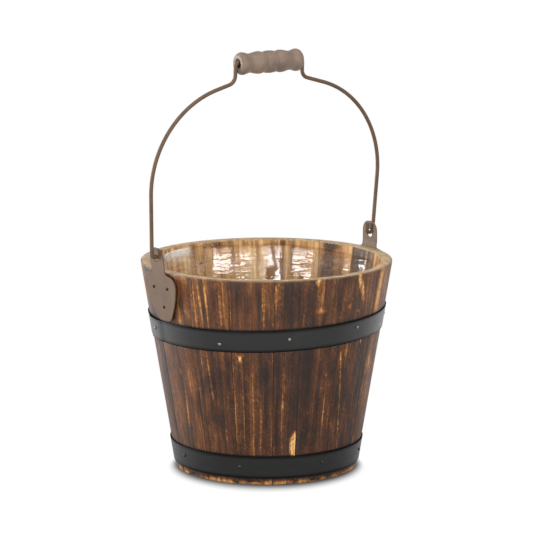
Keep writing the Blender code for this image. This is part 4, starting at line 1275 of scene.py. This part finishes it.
# Softboxes: name, direction in degrees, height in degrees, distance, width, height in metres, watts
SOFTBOXES = (
    ("key_softbox", -150, 11, 1.7, 0.65, 0.7, 13.0),
    ("fill_softbox", -95, 11, 1.7, 0.65, 0.7, 12.0),
    ("edge_softbox", 128, 9, 1.8, 0.38, 0.7, 38.0),
    ("top_softbox", -120, 72, 1.8, 1.2, 1.2, 18.0),
)
# Height of the point that they face
AIM_Z = 0.15


def make_lights():
    for name, az_deg, up_deg, away, width, height, watts in SOFTBOXES:
        lamp = bpy.data.lights.new(name, "AREA")
        lamp.shape = "RECTANGLE"
        lamp.size, lamp.size_y = width, height
        lamp.energy = watts
        az, up = math.radians(az_deg), math.radians(up_deg)
        direction = Vector((math.cos(az) * math.cos(up), math.sin(az) * math.cos(up), math.sin(up)))
        box = add_object(name, lamp)
        box.location = Vector((0, 0, AIM_Z)) + direction * away
        box.rotation_euler = direction.to_track_quat("Z", "Y").to_euler()


def make_camera():
    camera = bpy.data.cameras.new("photo_view")
    camera.lens = LENS_MM
    camera.sensor_width = SENSOR_MM
    camera.clip_end = 50.0
    eye = add_object("photo_view", camera)
    eye.location = EYE
    eye.rotation_euler = (math.radians(EYE_TILT_DEG), 0.0, math.radians(-VIEW_DEG))
    bpy.context.scene.camera = eye


def dress_floor_boards(material):
    for n in (1, 2, 3):
        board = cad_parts[f"floor_board_{n}"]
        board.data.materials.clear()
        board.data.materials.append(material)


def main():
    make_staves(make_scorched_pine())
    dress_floor_boards(make_sawn_pine())
    strip = make_black_strip()
    make_hoop("upper_hoop", UPPER_HOOP_Z, UPPER_HOOP_TILT, UPPER_HOOP_H, UPPER_LAP_DEG, strip)
    make_hoop("lower_hoop", LOWER_HOOP_Z, 0.0, LOWER_HOOP_H, LOWER_LAP_DEG, strip)
    metal_paint = make_grey_brown_paint("grey_brown_metal_paint", "#503b2b", "#5c4734", 0.54, 1.4)
    wood_paint = make_grey_brown_paint("grey_brown_wood_paint", "#64544a", "#796758", 0.5, 0.9)
    make_ears(metal_paint)
    make_nails()
    make_bail(metal_paint)
    make_grip(wood_paint)
    make_liner(make_clear_film())
    make_floor()
    make_world()
    make_lights()
    make_camera()
    bpy.context.scene.view_settings.view_transform = "Standard"


main()

bpy.context.view_layer.update()
